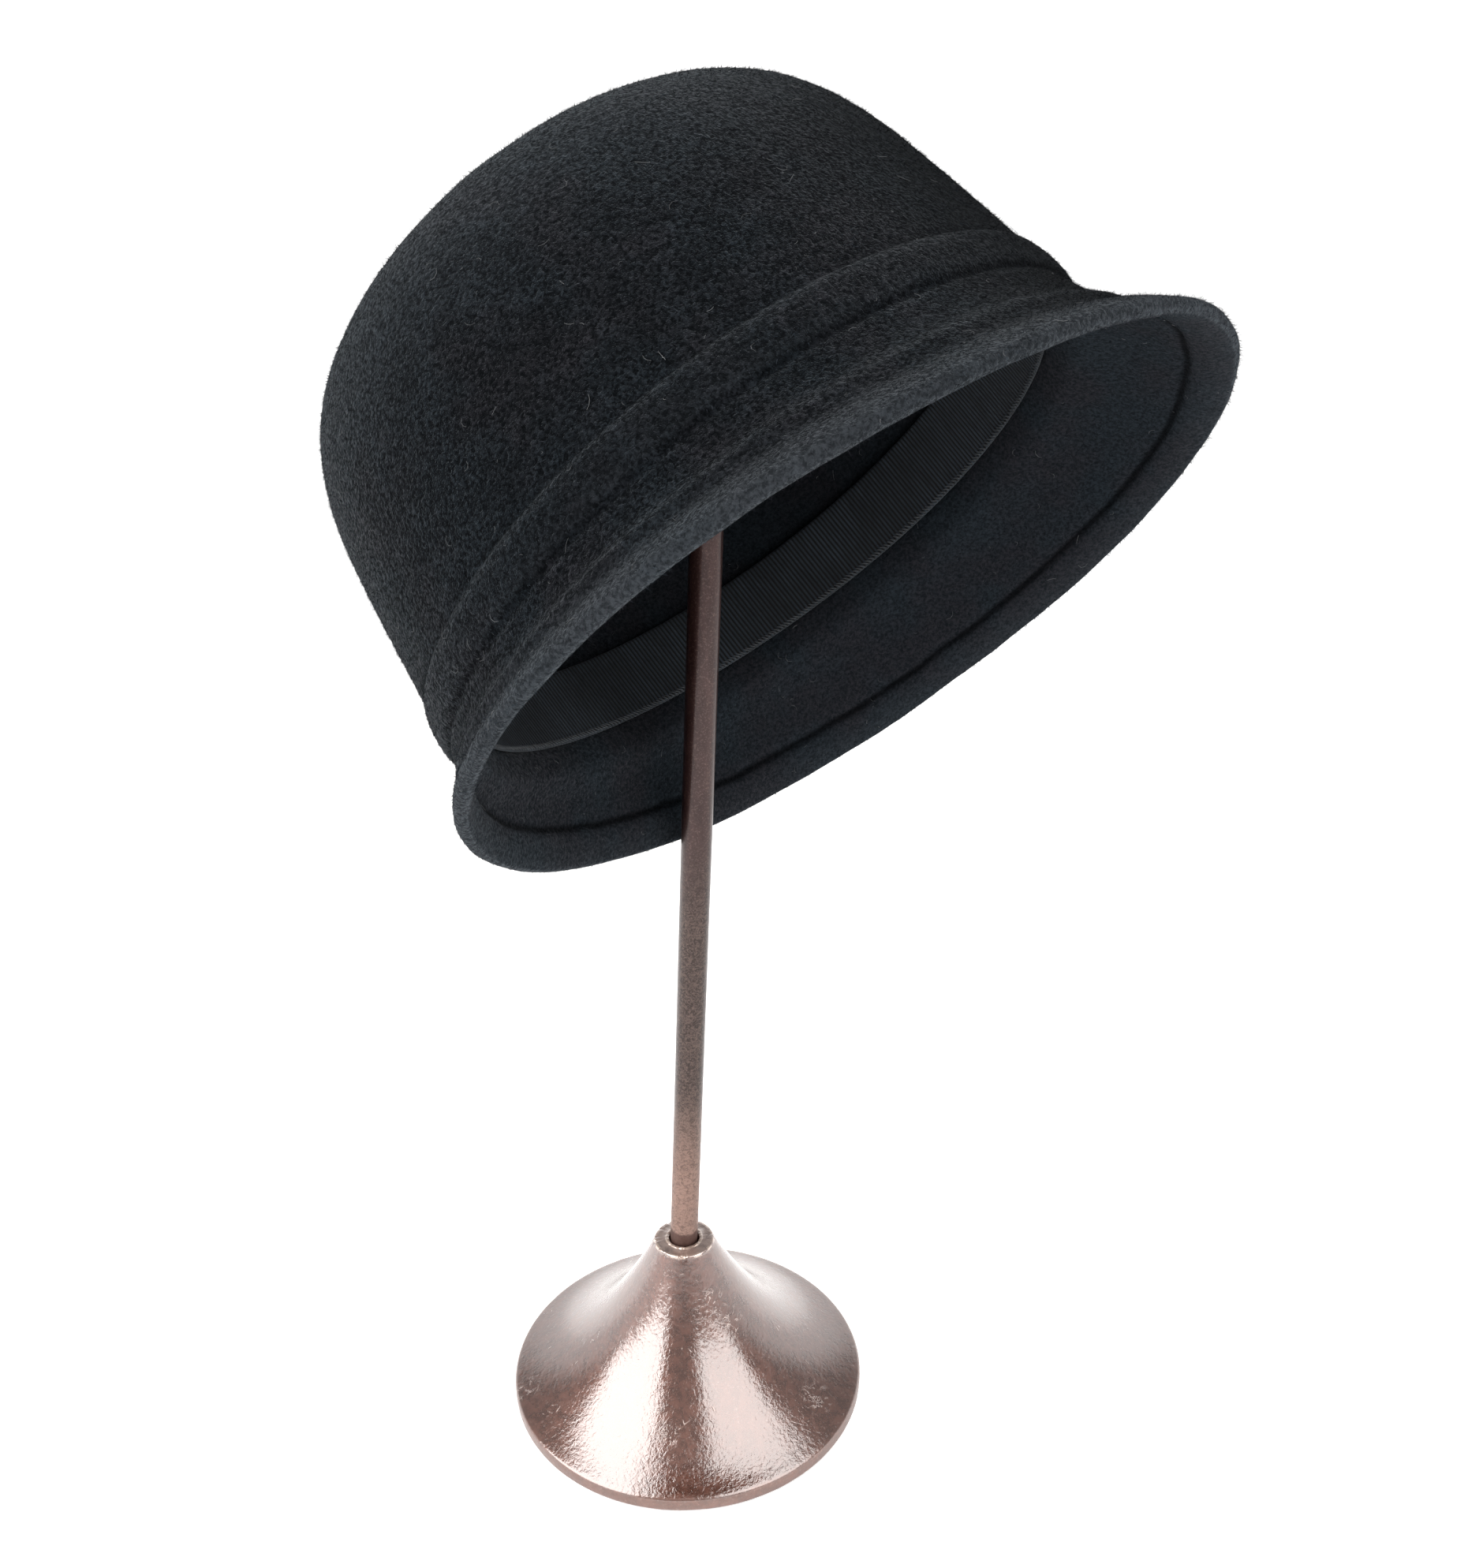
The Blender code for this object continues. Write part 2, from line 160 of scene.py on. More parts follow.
class StandSettings(bpy.types.PropertyGroup):
    """Sizes and colours of the stand."""

    base_radius: metres("Base Radius", "Radius of the round base", 0.0668)
    base_height: metres("Base Height", "Height of the base at its collar", 0.0664)
    rim_height: metres("Rim Height", "Height of the upright rim band", 0.006)
    rim_round: metres("Rim Rounding", "Rounding of the rim band", 0.0014)
    collar_radius: metres("Collar Radius", "Radius at the top of the flare", 0.0111)
    flare_power: bpy.props.FloatProperty(
        name="Flare", description="How hollow the flare's curve is", default=2.4)
    flare_cone: bpy.props.FloatProperty(
        name="Cone Share", description="Share of the flare that is a straight cone", default=0.35)
    rod_radius: metres("Rod Radius", "Radius of the rod", 0.005)
    peel_depth: metres("Peel Depth", "Height of the wrinkles in the sprayed coating", 0.00006)
    coat_brown: shade("Coat Brown", "Brown metallic coating of the base", (0.120, 0.051, 0.036))
    coat_pale: shade("Coat Pale", "Coating where it is scuffed", (0.50, 0.38, 0.33))
    rod_brown: shade(
        "Rod Brown", "Coating of the rod low down, where it is rubbed matt", (0.235, 0.150, 0.122))
    knob_colour: shade("Knob Colour", "Stained wood of the knob", (0.035, 0.024, 0.019))


class StudioSettings(bpy.types.PropertyGroup):
    """The camera and lights."""

    camera_turn: degrees("Camera Turn", "Turn of the camera round the stand", -33.8)
    camera_pitch: degrees("Camera Pitch", "How far the camera looks down", 26.70)
    camera_roll: degrees("Camera Roll", "Roll of the camera", 0.63)
    light_strength: bpy.props.FloatProperty(
        name="Light Strength", description="Strength of the two overhead soft lights", default=1.0)


# Mesh helpers

def deselect():
    if bpy.context.object and bpy.context.object.mode != "OBJECT":
        bpy.ops.object.mode_set(mode="OBJECT")
    bpy.ops.object.select_all(action="DESELECT")


def activate(obj):
    deselect()
    bpy.context.view_layer.objects.active = obj
    obj.select_set(True)


def added(add, location=(0.0, 0.0, 0.0), **options):
    """Calls one of Blender's add operators and returns its object, the only one selected."""
    deselect()
    add(location=location, **options)
    return bpy.context.object


def edit_all():
    bpy.ops.object.mode_set(mode="EDIT")
    bpy.ops.mesh.select_all(action="SELECT")


def end_edit():
    bpy.ops.object.mode_set(mode="OBJECT")


def cut_across(heights):
    """Cuts rings of edges through the mesh in edit mode, one at each height."""
    for height in heights:
        bpy.ops.mesh.select_all(action="SELECT")
        bpy.ops.mesh.bisect(plane_co=(0.0, 0.0, height), plane_no=(0.0, 0.0, 1.0))


def copy_of_node(node, name):
    """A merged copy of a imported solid, with its triangles joined back into quads."""
    obj = bpy.data.objects.new(name, bpy.data.objects[node].data.copy())
    bpy.context.scene.collection.objects.link(obj)
    obj.data.materials.clear()
    activate(obj)
    edit_all()
    bpy.ops.mesh.remove_doubles(threshold=0.000001)
    bpy.ops.mesh.tris_convert_to_quads(face_threshold=math.pi, shape_threshold=math.pi)
    end_edit()
    return obj


def subdivide(obj, levels):
    activate(obj)
    modifier = obj.modifiers.new("Subdivision", "SUBSURF")
    modifier.levels = modifier.render_levels = levels
    bpy.ops.object.modifier_apply(modifier=modifier.name)


def smooth(obj):
    activate(obj)
    bpy.ops.object.shade_smooth()


def place(obj, matrix):
    """Carries the mesh to its place, and leaves the object at the origin."""
    obj.data.transform(matrix @ obj.matrix_world)
    obj.matrix_world = Matrix.Identity(4)
    obj.data.update()


def points_of(obj, kind="co"):
    """One row of three numbers for each point: its place, or its normal."""
    values = np.empty(len(obj.data.vertices) * 3)
    obj.data.vertices.foreach_get(kind, values)
    return values.reshape(-1, 3)


def normals_of(obj):
    return points_of(obj, "normal")


def unit(rows):
    return rows / np.linalg.norm(rows, axis=1, keepdims=True)


def along_surface(rows, normals):
    """Vectors laid flat on a surface with these normals."""
    return rows - normals * np.einsum("ij,ij->i", rows, normals)[:, None]


def move_points(obj, points):
    obj.data.vertices.foreach_set("co", points.ravel())
    obj.data.update()


def store(obj, name, values):
    """Keeps one number for each point of a mesh, for its material to read."""
    layer = obj.data.attributes.new(name, "FLOAT", "POINT")
    layer.data.foreach_set("value", np.asarray(values, dtype=np.float32))


def stored(obj, name):
    values = np.empty(len(obj.data.vertices), dtype=np.float32)
    obj.data.attributes[name].data.foreach_get("value", values)
    return values


def hollowness(obj, rounds, full):
    """How far each point lies under the smoothed surface round it: 1 in a groove, -1 on a ridge."""
    edges = np.empty(len(obj.data.edges) * 2, dtype=np.int32)
    obj.data.edges.foreach_get("vertices", edges)
    points = points_of(obj)
    ends = np.concatenate((edges[0::2], edges[1::2]))
    others = np.concatenate((edges[1::2], edges[0::2]))
    count = np.bincount(ends, minlength=len(points))
    soft = points.copy()
    for _ in range(rounds):
        total = [np.bincount(ends, soft[others, k], len(points)) for k in range(3)]
        soft = 0.5 * soft + 0.5 * np.stack(total, axis=1) / count[:, None]
    depth = np.einsum("ij,ij->i", soft - points, normals_of(obj))
    return np.clip(depth / full, -1.0, 1.0)


def finish(obj, material, slot, *nodes):
    """Gives a piece its material, puts it under the root body and hides the nodes it dresses; the slot is not
    used.
    """
    obj.data.materials.clear()
    obj.data.materials.append(material)
    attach(obj, "root")
    if nodes:
        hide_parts(*nodes)


def scattered(name, shape, turns, sizes, places):
    """Many copies of one small shape in one mesh: each is sized, turned and put in its place."""
    corners = points_of(shape)
    sized = corners[None, :, :] * sizes[:, None, :]
    turned = np.einsum("nij,nkj->nki", turns, sized) + places[:, None, :]
    firsts = np.arange(len(places)) * len(corners)
    faces = []
    for face in shape.data.polygons:
        faces.extend((np.array(face.vertices)[None, :] + firsts[:, None]).tolist())
    bpy.data.objects.remove(shape, do_unlink=True)
    mesh = bpy.data.meshes.new(name)
    mesh.from_pydata(turned.reshape(-1, 3).tolist(), [], faces)
    mesh.update()
    obj = bpy.data.objects.new(name, mesh)
    bpy.context.scene.collection.objects.link(obj)
    return obj


def frames_along(forward, up):
    """Turning matrices whose z runs along forward, with x as near to up as it can be."""
    z = unit(forward)
    y = unit(np.cross(z, up))
    return np.stack((np.cross(y, z), y, z), axis=2)


def spots_on(obj, count, rng, weight=None):
    """Random places on a mesh's faces, spread evenly by area, with the normal and nearby point of each."""
    mesh = obj.data
    mesh.calc_loop_triangles()
    corners = np.empty(len(mesh.loop_triangles) * 3, dtype=np.int32)
    mesh.loop_triangles.foreach_get("vertices", corners)
    corners = corners.reshape(-1, 3)
    points = points_of(obj)
    normals = normals_of(obj)
    a, b, c = (points[corners[:, k]] for k in range(3))
    area = 0.5 * np.linalg.norm(np.cross(b - a, c - a), axis=1)
    if weight is not None:
        area = area * weight((a + b + c) / 3.0, normals[corners[:, 0]])
    picked = rng.choice(len(area), size=count, p=area / area.sum())
    r1 = np.sqrt(rng.random(count))[:, None]
    r2 = rng.random(count)[:, None]
    spots = a[picked] * (1.0 - r1) + b[picked] * r1 * (1.0 - r2) + c[picked] * r1 * r2
    n = normals[corners[picked, 0]] * (1.0 - r1) + normals[corners[picked, 1]] * r1 * (1.0 - r2)
    n = n + normals[corners[picked, 2]] * r1 * r2
    return spots, unit(n), corners[picked, 0]


def noise_at(points, size, seed):
    """Smooth noise between -1 and 1 at each point, with bumps about as wide as size."""
    shift = Vector((seed * 17.3, seed * 9.1, seed * 5.7))
    return np.array([noise.noise(Vector(p) / size + shift) for p in points])


# Material helpers

def tinted(colour, share):
    """A colour made darker or paler by a share."""
    return tuple(share * c for c in colour)


class Nodes:
    """A node tree whose nodes are added one at a time. Sizes and distances are in metres."""

    def __init__(self, tree, coordinates):
        self.tree = tree
        self.place = self.add("ShaderNodeTexCoord", coordinates, {})

    def add(self, kind, output, inputs, **settings):
        """Adds a node with its settings, gives each input a link or a value, and returns one output."""
        node = self.tree.nodes.new(kind)
        for name, value in settings.items():
            setattr(node, name, value)
        for name, value in inputs.items():
            if isinstance(value, bpy.types.NodeSocket):
                self.tree.links.new(value, node.inputs[name])
            else:
                node.inputs[name].default_value = value
        return node.outputs[output]

    def mapped(self, matrix=None, scale=UNSTRETCHED, source=None):
        """Coordinates turned into a frame of their own and stretched."""
        output = source or self.place
        if matrix is not None:
            inverse = matrix.inverted()
            output = self.add("ShaderNodeMapping", "Vector", {
                "Vector": output, "Location": inverse.to_translation(), "Rotation": inverse.to_euler("XYZ")})
        if scale != UNSTRETCHED:
            output = self.add("ShaderNodeMapping", "Vector", {"Vector": output, "Scale": scale})
        return output

    def noise(self, size, detail=2.0, rough=0.5, distortion=0.0, at=None):
        """Cloudy noise about 0.5, with clouds about as wide as size."""
        return self.add("ShaderNodeTexNoise", "Fac", {
            "Vector": at or self.place, "Scale": 1.0 / size, "Detail": detail, "Roughness": rough,
            "Distortion": distortion})

    def cell_edges(self, size, at):
        """Distance from the nearest border between cells about as wide as size."""
        return self.add("ShaderNodeTexVoronoi", "Distance", {"Vector": at, "Scale": 1.0 / size},
                        feature="DISTANCE_TO_EDGE")

    def stored(self, name):
        """A number kept on each point of the mesh."""
        return self.add("ShaderNodeAttribute", "Fac", {}, attribute_name=name)

    def ramp(self, value, low, high, out_low=0.0, out_high=1.0):
        """Goes smoothly from out_low, where the value is low, to out_high, where it is high."""
        return self.add("ShaderNodeMapRange", "Result", {
            "Value": value, "From Min": low, "From Max": high, "To Min": out_low, "To Max": out_high},
            interpolation_type="SMOOTHSTEP")

    def math(self, operation, *values):
        return self.add("ShaderNodeMath", "Value", dict(enumerate(values)), operation=operation)

    def times(self, a, b):
        return self.math("MULTIPLY", a, b)

    def plus(self, a, b):
        return self.math("ADD", a, b)

    def larger(self, a, b):
        return self.math("MAXIMUM", a, b)

    def mix(self, share, a, b):
        """Colour a where the share is 0, and b where it is 1."""
        a, b = (c if isinstance(c, bpy.types.NodeSocket) else (*c, 1.0) for c in (a, b))
        return self.add("ShaderNodeMix", 2, {"Factor": share, 6: a, 7: b}, data_type="RGBA")

    def split(self, vector):
        x = self.add("ShaderNodeSeparateXYZ", "X", {"Vector": vector})
        return x, x.node.outputs["Y"], x.node.outputs["Z"]

    def bump(self, height, distance, strength=1.0, before=None):
        inputs = {"Height": height, "Distance": distance, "Strength": strength}
        if before is not None:
            inputs["Normal"] = before
        return self.add("ShaderNodeBump", "Normal", inputs)


class Shader(Nodes):
    """A material whose nodes feed one surface."""

    def __init__(self, name):
        self.material = bpy.data.materials.new(name)
        self.material.use_nodes = True
        super().__init__(self.material.node_tree, "Object")
        self.surface = self.tree.nodes["Principled BSDF"]

    def link(self, output, name):
        self.tree.links.new(output, self.surface.inputs[name])

    def set(self, name, value):
        self.surface.inputs[name].default_value = value


def velour_felt(hat):
    """Black velour felt: fine mottled nap with cool and warm clouds, paler along the brim's edge and on
    ridges (partly rubbed, partly painted sheen), with painted shade in hollows and towards the front and
    painted light on the underside.
    """
    s = Shader("velour_felt")
    local = s.mapped(HAT_FRAME)
    forward = s.split(local)[0]
    hollow, under, edge = s.stored("hollow"), s.stored("under"), s.stored("edge")
    clouds = s.ramp(s.noise(0.030, 3.0, 0.6, at=local), 0.38, 0.62)
    patches = s.ramp(s.noise(0.012, 3.0, 0.6, at=local), 0.34, 0.68)
    specks = s.noise(0.0010, 3.0, 0.65, 0.4, at=local)
    tufts = s.noise(0.0024, 3.0, 0.6, 0.5, at=local)
    fibres = s.noise(0.0004, 2.0, 0.7, at=local)
    hue = s.mix(clouds, hat.felt_cool, hat.felt_warm)
    # Painted light: the inside and the brim's underside get a paler colour, standing in for light thrown up
    # from the floor
    underside_light = s.mix(clouds, tinted(hat.felt_cool, 1.35), tinted(hat.felt_warm, 1.25))
    depth = s.times(s.ramp(specks, 0.36, 0.66), s.ramp(tufts, 0.28, 0.70, 0.40, 1.0))
    depth = s.times(depth, s.ramp(patches, 0.0, 1.0, 0.60, 1.0))
    # Painted shade: darker towards the hat's front
    depth = s.times(depth, s.ramp(forward, -0.010, 0.060, 1.0, 0.18))
    outer = s.mix(depth, hat.felt_dark, hue)
    inner = s.mix(s.ramp(specks, 0.30, 0.70), tinted(hat.felt_cool, 0.5), underside_light)
    colour = s.mix(under, outer, inner)
    # Paler on ridges and along the brim's edge: partly wear, partly painted sheen
    worn_and_sheen = s.larger(s.times(s.ramp(hollow, -0.2, -1.0), 0.25), edge)
    worn_and_sheen = s.times(worn_and_sheen, s.ramp(specks, 0.34, 0.66, 0.42, 1.0))
    colour = s.mix(worn_and_sheen, colour, hat.felt_worn_and_sheen)
    # Painted shade: darker in the hem's groove and the felt's other hollows
    groove_shade = s.times(s.ramp(hollow, 0.20, 1.0), s.plus(0.55, s.times(under, 0.4)))
    colour = s.mix(groove_shade, colour, tinted(hat.felt_dark, 0.35))
    s.link(colour, "Base Color")
    normal = s.bump(tufts, 0.0008, 0.45)
    normal = s.bump(specks, 0.0007, 0.85, normal)
    normal = s.bump(fibres, 0.00025, 0.8, normal)
    s.link(normal, "Normal")
    s.set("Roughness", 0.96)
    s.set("Specular IOR Level", 0.02)
    # Painted shade: the sheen is also weakened towards the hat's front
    front_shade = s.ramp(forward, 0.005, 0.070, 1.0, 0.18)
    mottled = s.times(s.ramp(specks, 0.34, 0.66, 0.3, 1.45), front_shade)
    s.link(s.times(s.ramp(hollow, 0.5, -0.6, 0.04, 0.135), mottled), "Sheen Weight")
    s.set("Sheen Roughness", 0.34)
    s.set("Sheen Tint", (0.80, 0.88, 0.94, 1.0))
    return s.material


def raised_fibre(hat):
    """The fibres of the nap, each of its own tone, from nearly black to a dull blue grey; the tones also
    carry painted light and shade.
    """
    s = Shader("raised_fibre")
    tone = s.stored("tone")
    clouds = s.ramp(s.noise(0.03, 2.0), 0.36, 0.64)
    cool = tinted(hat.felt_cool, 3.0)
    warm = tinted(hat.felt_warm, 3.0)
    s.link(s.mix(tone, hat.felt_dark, s.mix(clouds, cool, warm)), "Base Color")
    s.set("Roughness", 0.85)
    s.set("Specular IOR Level", 0.02)
    return s.material


def loose_lint(hat):
    """Pale fibres, duller here and there."""
    s = Shader("loose_lint")
    tone = s.ramp(s.noise(0.012, 1.0), 0.35, 0.65)
    dull = tinted(hat.lint_colour, 0.45)
    s.link(s.mix(tone, dull, hat.lint_colour), "Base Color")
    s.set("Roughness", 0.8)
    return s.material


def ribbed_ribbon(hat):
    """Black ribbed ribbon: painted shade between its ribs and painted highlight on them, fine threads along
    them, worn paler here and there.
    """
    s = Shader("ribbed_ribbon")
    local = s.mapped(HAT_FRAME)
    threads = s.noise(0.00022, 2.0, 0.6, at=s.mapped(source=local, scale=(0.5, 0.5, 1.6)))
    slubs = s.noise(0.003, 2.0, 0.6, at=s.mapped(source=local, scale=(1.0, 1.0, 0.2)))
    wear = s.ramp(s.noise(0.02, 2.0), 0.35, 0.7)
    pale = tinted(hat.ribbon_colour, 3.0)
    dark = tinted(hat.ribbon_colour, 0.10)
    share = s.times(s.ramp(threads, 0.30, 0.65, 0.5, 1.0), s.ramp(slubs, 0.3, 0.7, 0.6, 1.0))
    share = s.times(share, s.ramp(wear, 0.0, 1.0, 0.7, 1.0))
    # Painted shade between the ribs and painted highlight on their tops
    share = s.times(share, s.ramp(s.stored("rib"), 0.20, 0.80))
    s.link(s.mix(share, dark, pale), "Base Color")
    s.link(s.bump(threads, 0.00012, 0.8), "Normal")
    s.set("Roughness", 0.62)
    s.set("Specular IOR Level", 0.25)
    s.set("Sheen Weight", 0.06)
    return s.material


def sewing_thread():
    """Black thread, paler where its twist catches the light."""
    s = Shader("sewing_thread")
    twist = s.noise(0.0003, 2.0, 0.5)
    s.link(s.mix(twist, (0.016, 0.019, 0.022), (0.060, 0.066, 0.072)), "Base Color")
    s.set("Roughness", 0.6)
    return s.material


def brown_coat(stand):
    """Brown lacquer under a clear glossy coat with a faint wrinkle, scuffs, scratches and worn edges."""
    s = Shader("brown_coat")
    x, y, z = s.split(s.place)
    mottle = s.noise(0.0042, 5.0, 0.72, 0.4)
    speckle = s.noise(0.0011, 3.0, 0.7)
    scuff = s.ramp(s.noise(0.0065, 6.0, 0.78, 1.4), 0.64, 0.70)
    scuff = s.times(scuff, s.ramp(s.noise(0.024, 2.0, 0.5), 0.50, 0.62))
    veins = s.cell_edges(0.011, s.mapped(scale=(1.0, 1.0, 0.6)))
    veins = s.ramp(veins, 0.0, 0.020, 1.0, 0.0)
    veins = s.times(veins, s.ramp(s.noise(0.007, 3.0, 0.7, 0.8), 0.62, 0.70))
    marks = s.larger(scuff, veins)
    squiggles = s.math("ABSOLUTE", s.math("SUBTRACT", s.noise(0.0042, 3.0, 0.6, 1.6), 0.5))
    squiggles = s.times(s.ramp(squiggles, 0.026, 0.008), s.ramp(s.noise(0.003, 2.0), 0.42, 0.56))
    # The scuffs seen in the photograph
    for spot, radius in SCUFFS:
        away = s.add("ShaderNodeVectorMath", "Value", {0: s.place, 1: spot}, operation="DISTANCE")
        near = s.ramp(away, radius, 0.3 * radius)
        marks = s.larger(marks, s.times(near, squiggles))
    # By height and distance from the axis: wear on the rim, the lip round the rod and the collar's edge, and
    # a paler collar top
    worn_rim = s.ramp(z, 0.0066, 0.0052)
    worn_rim = s.times(worn_rim, s.ramp(s.noise(0.005, 5.0, 0.7), 0.30, 0.62, 0.45, 1.0))
    lip = s.times(s.ramp(z, 0.06645, 0.06660), s.ramp(s.noise(0.0016, 3.0, 0.7), 0.36, 0.52))
    top = s.times(s.ramp(z, 0.0660, 0.0663), s.ramp(mottle, 0.30, 0.60, 0.35, 0.75))
    out = s.math("SQRT", s.plus(s.times(x, x), s.times(y, y)))
    edge = s.times(s.ramp(z, 0.0652, 0.0658), s.ramp(out, 0.0098, 0.0104))
    edge = s.times(edge, s.ramp(s.noise(0.0026, 3.0, 0.7), 0.46, 0.58))
    dark = tinted(stand.coat_brown, 0.80)
    light = tinted(stand.coat_brown, 1.20)
    colour = s.mix(s.ramp(mottle, 0.36, 0.66), dark, light)
    colour = s.mix(s.times(s.ramp(speckle, 0.55, 0.75), 0.18), colour, stand.coat_pale)
    colour = s.mix(s.larger(s.times(worn_rim, 0.10), top), colour, stand.coat_pale)
    colour = s.mix(s.times(marks, 0.65), colour, stand.coat_pale)
    bare_metal = (0.62, 0.48, 0.40)
    colour = s.mix(s.larger(lip, edge), colour, bare_metal)
    s.link(colour, "Base Color")
    peel = s.noise(0.0013, 3.0, 0.55, 0.6, at=s.mapped(scale=(1.0, 1.0, 0.6)))
    normal = s.bump(peel, 0.00018, 0.6)
    normal = s.bump(marks, 0.00006, 0.5, normal)
    s.link(normal, "Normal")
    s.link(normal, "Coat Normal")
    s.link(s.ramp(mottle, 0.3, 0.7, 0.36, 0.46), "Roughness")
    s.link(s.larger(s.times(marks, 0.4), s.ramp(mottle, 0.3, 0.7, 0.06, 0.09)), "Coat Roughness")
    s.set("Metallic", 0.85)
    s.link(s.ramp(z, 0.0045, 0.0062, 0.35, 1.0), "Coat Weight")
    s.set("Coat IOR", 2.40)
    return s.material


def satin_rod_coat(stand):
    """Brown coating of the rod: dark and glossy higher up, rubbed matt and pinkish low down, stained foot."""
    s = Shader("satin_rod_coat")
    local = s.mapped(rod_frame(stand.base_height))
    z = s.split(local)[2]
    speckle = s.noise(0.0007, 3.0, 0.75)
    patches = s.noise(0.006, 4.0, 0.7, 0.5, at=s.mapped(source=local, scale=(1.0, 1.0, 0.3)))
    worms = s.noise(0.0019, 3.0, 0.6, 2.2, at=local)
    rubbed = s.ramp(s.plus(z, s.times(patches, 0.02)), 0.085, 0.030)
    satin = s.ramp(s.plus(z, s.times(patches, 0.03)), 0.185, 0.145)
    foot = s.ramp(s.plus(z, s.times(s.noise(0.004, 3.0, 0.7), 0.003)), 0.0075, 0.0060)
    high = s.mix(s.ramp(patches, 0.3, 0.7), (0.022, 0.007, 0.006), (0.042, 0.018, 0.016))
    middle = s.mix(s.ramp(worms, 0.40, 0.62), (0.016, 0.007, 0.005), (0.064, 0.040, 0.033))
    low = s.mix(s.ramp(worms, 0.34, 0.60), tinted(stand.rod_brown, 0.62), tinted(stand.rod_brown, 1.15))
    colour = s.mix(satin, high, middle)
    colour = s.mix(rubbed, colour, low)
    colour = s.mix(s.times(s.ramp(speckle, 0.48, 0.72), 0.22), colour, stand.rod_brown)
    stain = (0.070, 0.034, 0.028)
    colour = s.mix(s.times(foot, 0.9), colour, stain)
    s.link(colour, "Base Color")
    normal = s.bump(worms, 0.00012, 0.5)
    s.link(s.bump(speckle, 0.00006, 0.5, normal), "Normal")
    s.link(s.ramp(rubbed, 0.0, 1.0, 0.38, 0.60), "Roughness")
    s.link(s.ramp(rubbed, 0.0, 1.0, 0.30, 0.15), "Coat Weight")
    s.set("Coat Roughness", 0.10)
    s.set("Metallic", 0.6)
    return s.material


def stained_wood(stand):
    """Turned knob of dark stained wood, with grain along the rod."""
    s = Shader("stained_wood")
    local = s.mapped(rod_frame(stand.base_height))
    grain = s.noise(0.0016, 5.0, 0.65, 0.6, at=s.mapped(source=local, scale=(1.0, 1.0, 0.12)))
    pores = s.noise(0.0005, 2.0, 0.6, at=s.mapped(source=local, scale=(1.0, 1.0, 0.08)))
    pale = tinted(stand.knob_colour, 2.2)
    s.link(s.mix(s.ramp(grain, 0.35, 0.68), stand.knob_colour, pale), "Base Color")
    s.link(s.bump(pores, 0.00012, 0.5), "Normal")
    s.link(s.ramp(grain, 0.3, 0.7, 0.42, 0.58), "Roughness")
    return s.material


# Hat

def hat_places(points):
    """Points carried into the hat's own frame."""
    to_local = np.array(HAT_FRAME.inverted())
    return points @ to_local[:3, :3].T + to_local[:3, 3]


def inner_side(points, normals):
    """1 where the felt faces the head or the brim's underside, 0 on the outer side."""
    local = hat_places(points)
    facing = normals @ np.array(HAT_FRAME.to_3x3())
    flat = local[:, :2] / np.maximum(np.linalg.norm(local[:, :2], axis=1, keepdims=True), 0.001)
    out = np.einsum("ij,ij->i", facing[:, :2], flat)
    out = out + facing[:, 2] * np.clip((local[:, 2] - 0.06) / 0.02, 0.0, 1.0)
    return np.clip(0.5 - 4.0 * out, 0.0, 1.0)


def distance_to_brim_edge(points):
    """How far each point is from the brim's lowest edge."""
    local = hat_places(points)
    turn = np.arctan2(local[:, 1], local[:, 0])
    sector = ((turn + math.pi) / (2.0 * math.pi) * EDGE_PLACES).astype(int) % EDGE_PLACES
    order = np.lexsort((local[:, 2], sector))
    lowest = order[np.concatenate(([True], np.diff(sector[order]) > 0))]
    tree = KDTree(len(lowest))
    for k, index in enumerate(lowest):
        tree.insert(points[index], k)
    tree.balance()
    return np.array([tree.find(p)[2] for p in points])


def crease_hem(obj):
    """Keeps the step of the turned-under hem crisp when the felt is smoothed."""
    activate(obj)
    bpy.ops.object.mode_set(mode="EDIT")
    bpy.ops.mesh.select_mode(type="EDGE")
    bpy.ops.mesh.select_all(action="DESELECT")
    bpy.ops.mesh.edges_select_sharp(sharpness=FOLD_ANGLE)
    end_edit()
    mesh = obj.data
    ends = np.empty(len(mesh.edges) * 2, dtype=np.int32)
    mesh.edges.foreach_get("vertices", ends)
    chosen = np.empty(len(mesh.edges), dtype=bool)
    mesh.edges.foreach_get("select", chosen)
    points = points_of(obj)
    kept = inner_side(points, normals_of(obj)) * (hat_places(points)[:, 2] < 0.0)
    chosen &= np.minimum(kept[ends[0::2]], kept[ends[1::2]]) > 0.4
    for items in (mesh.vertices, mesh.polygons):
        items.foreach_set("select", np.zeros(len(items), dtype=bool))
    mesh.edges.foreach_set("select", chosen)
    bpy.ops.object.mode_set(mode="EDIT")
    bpy.ops.transform.edge_crease(value=FOLD_CREASE)
    end_edit()


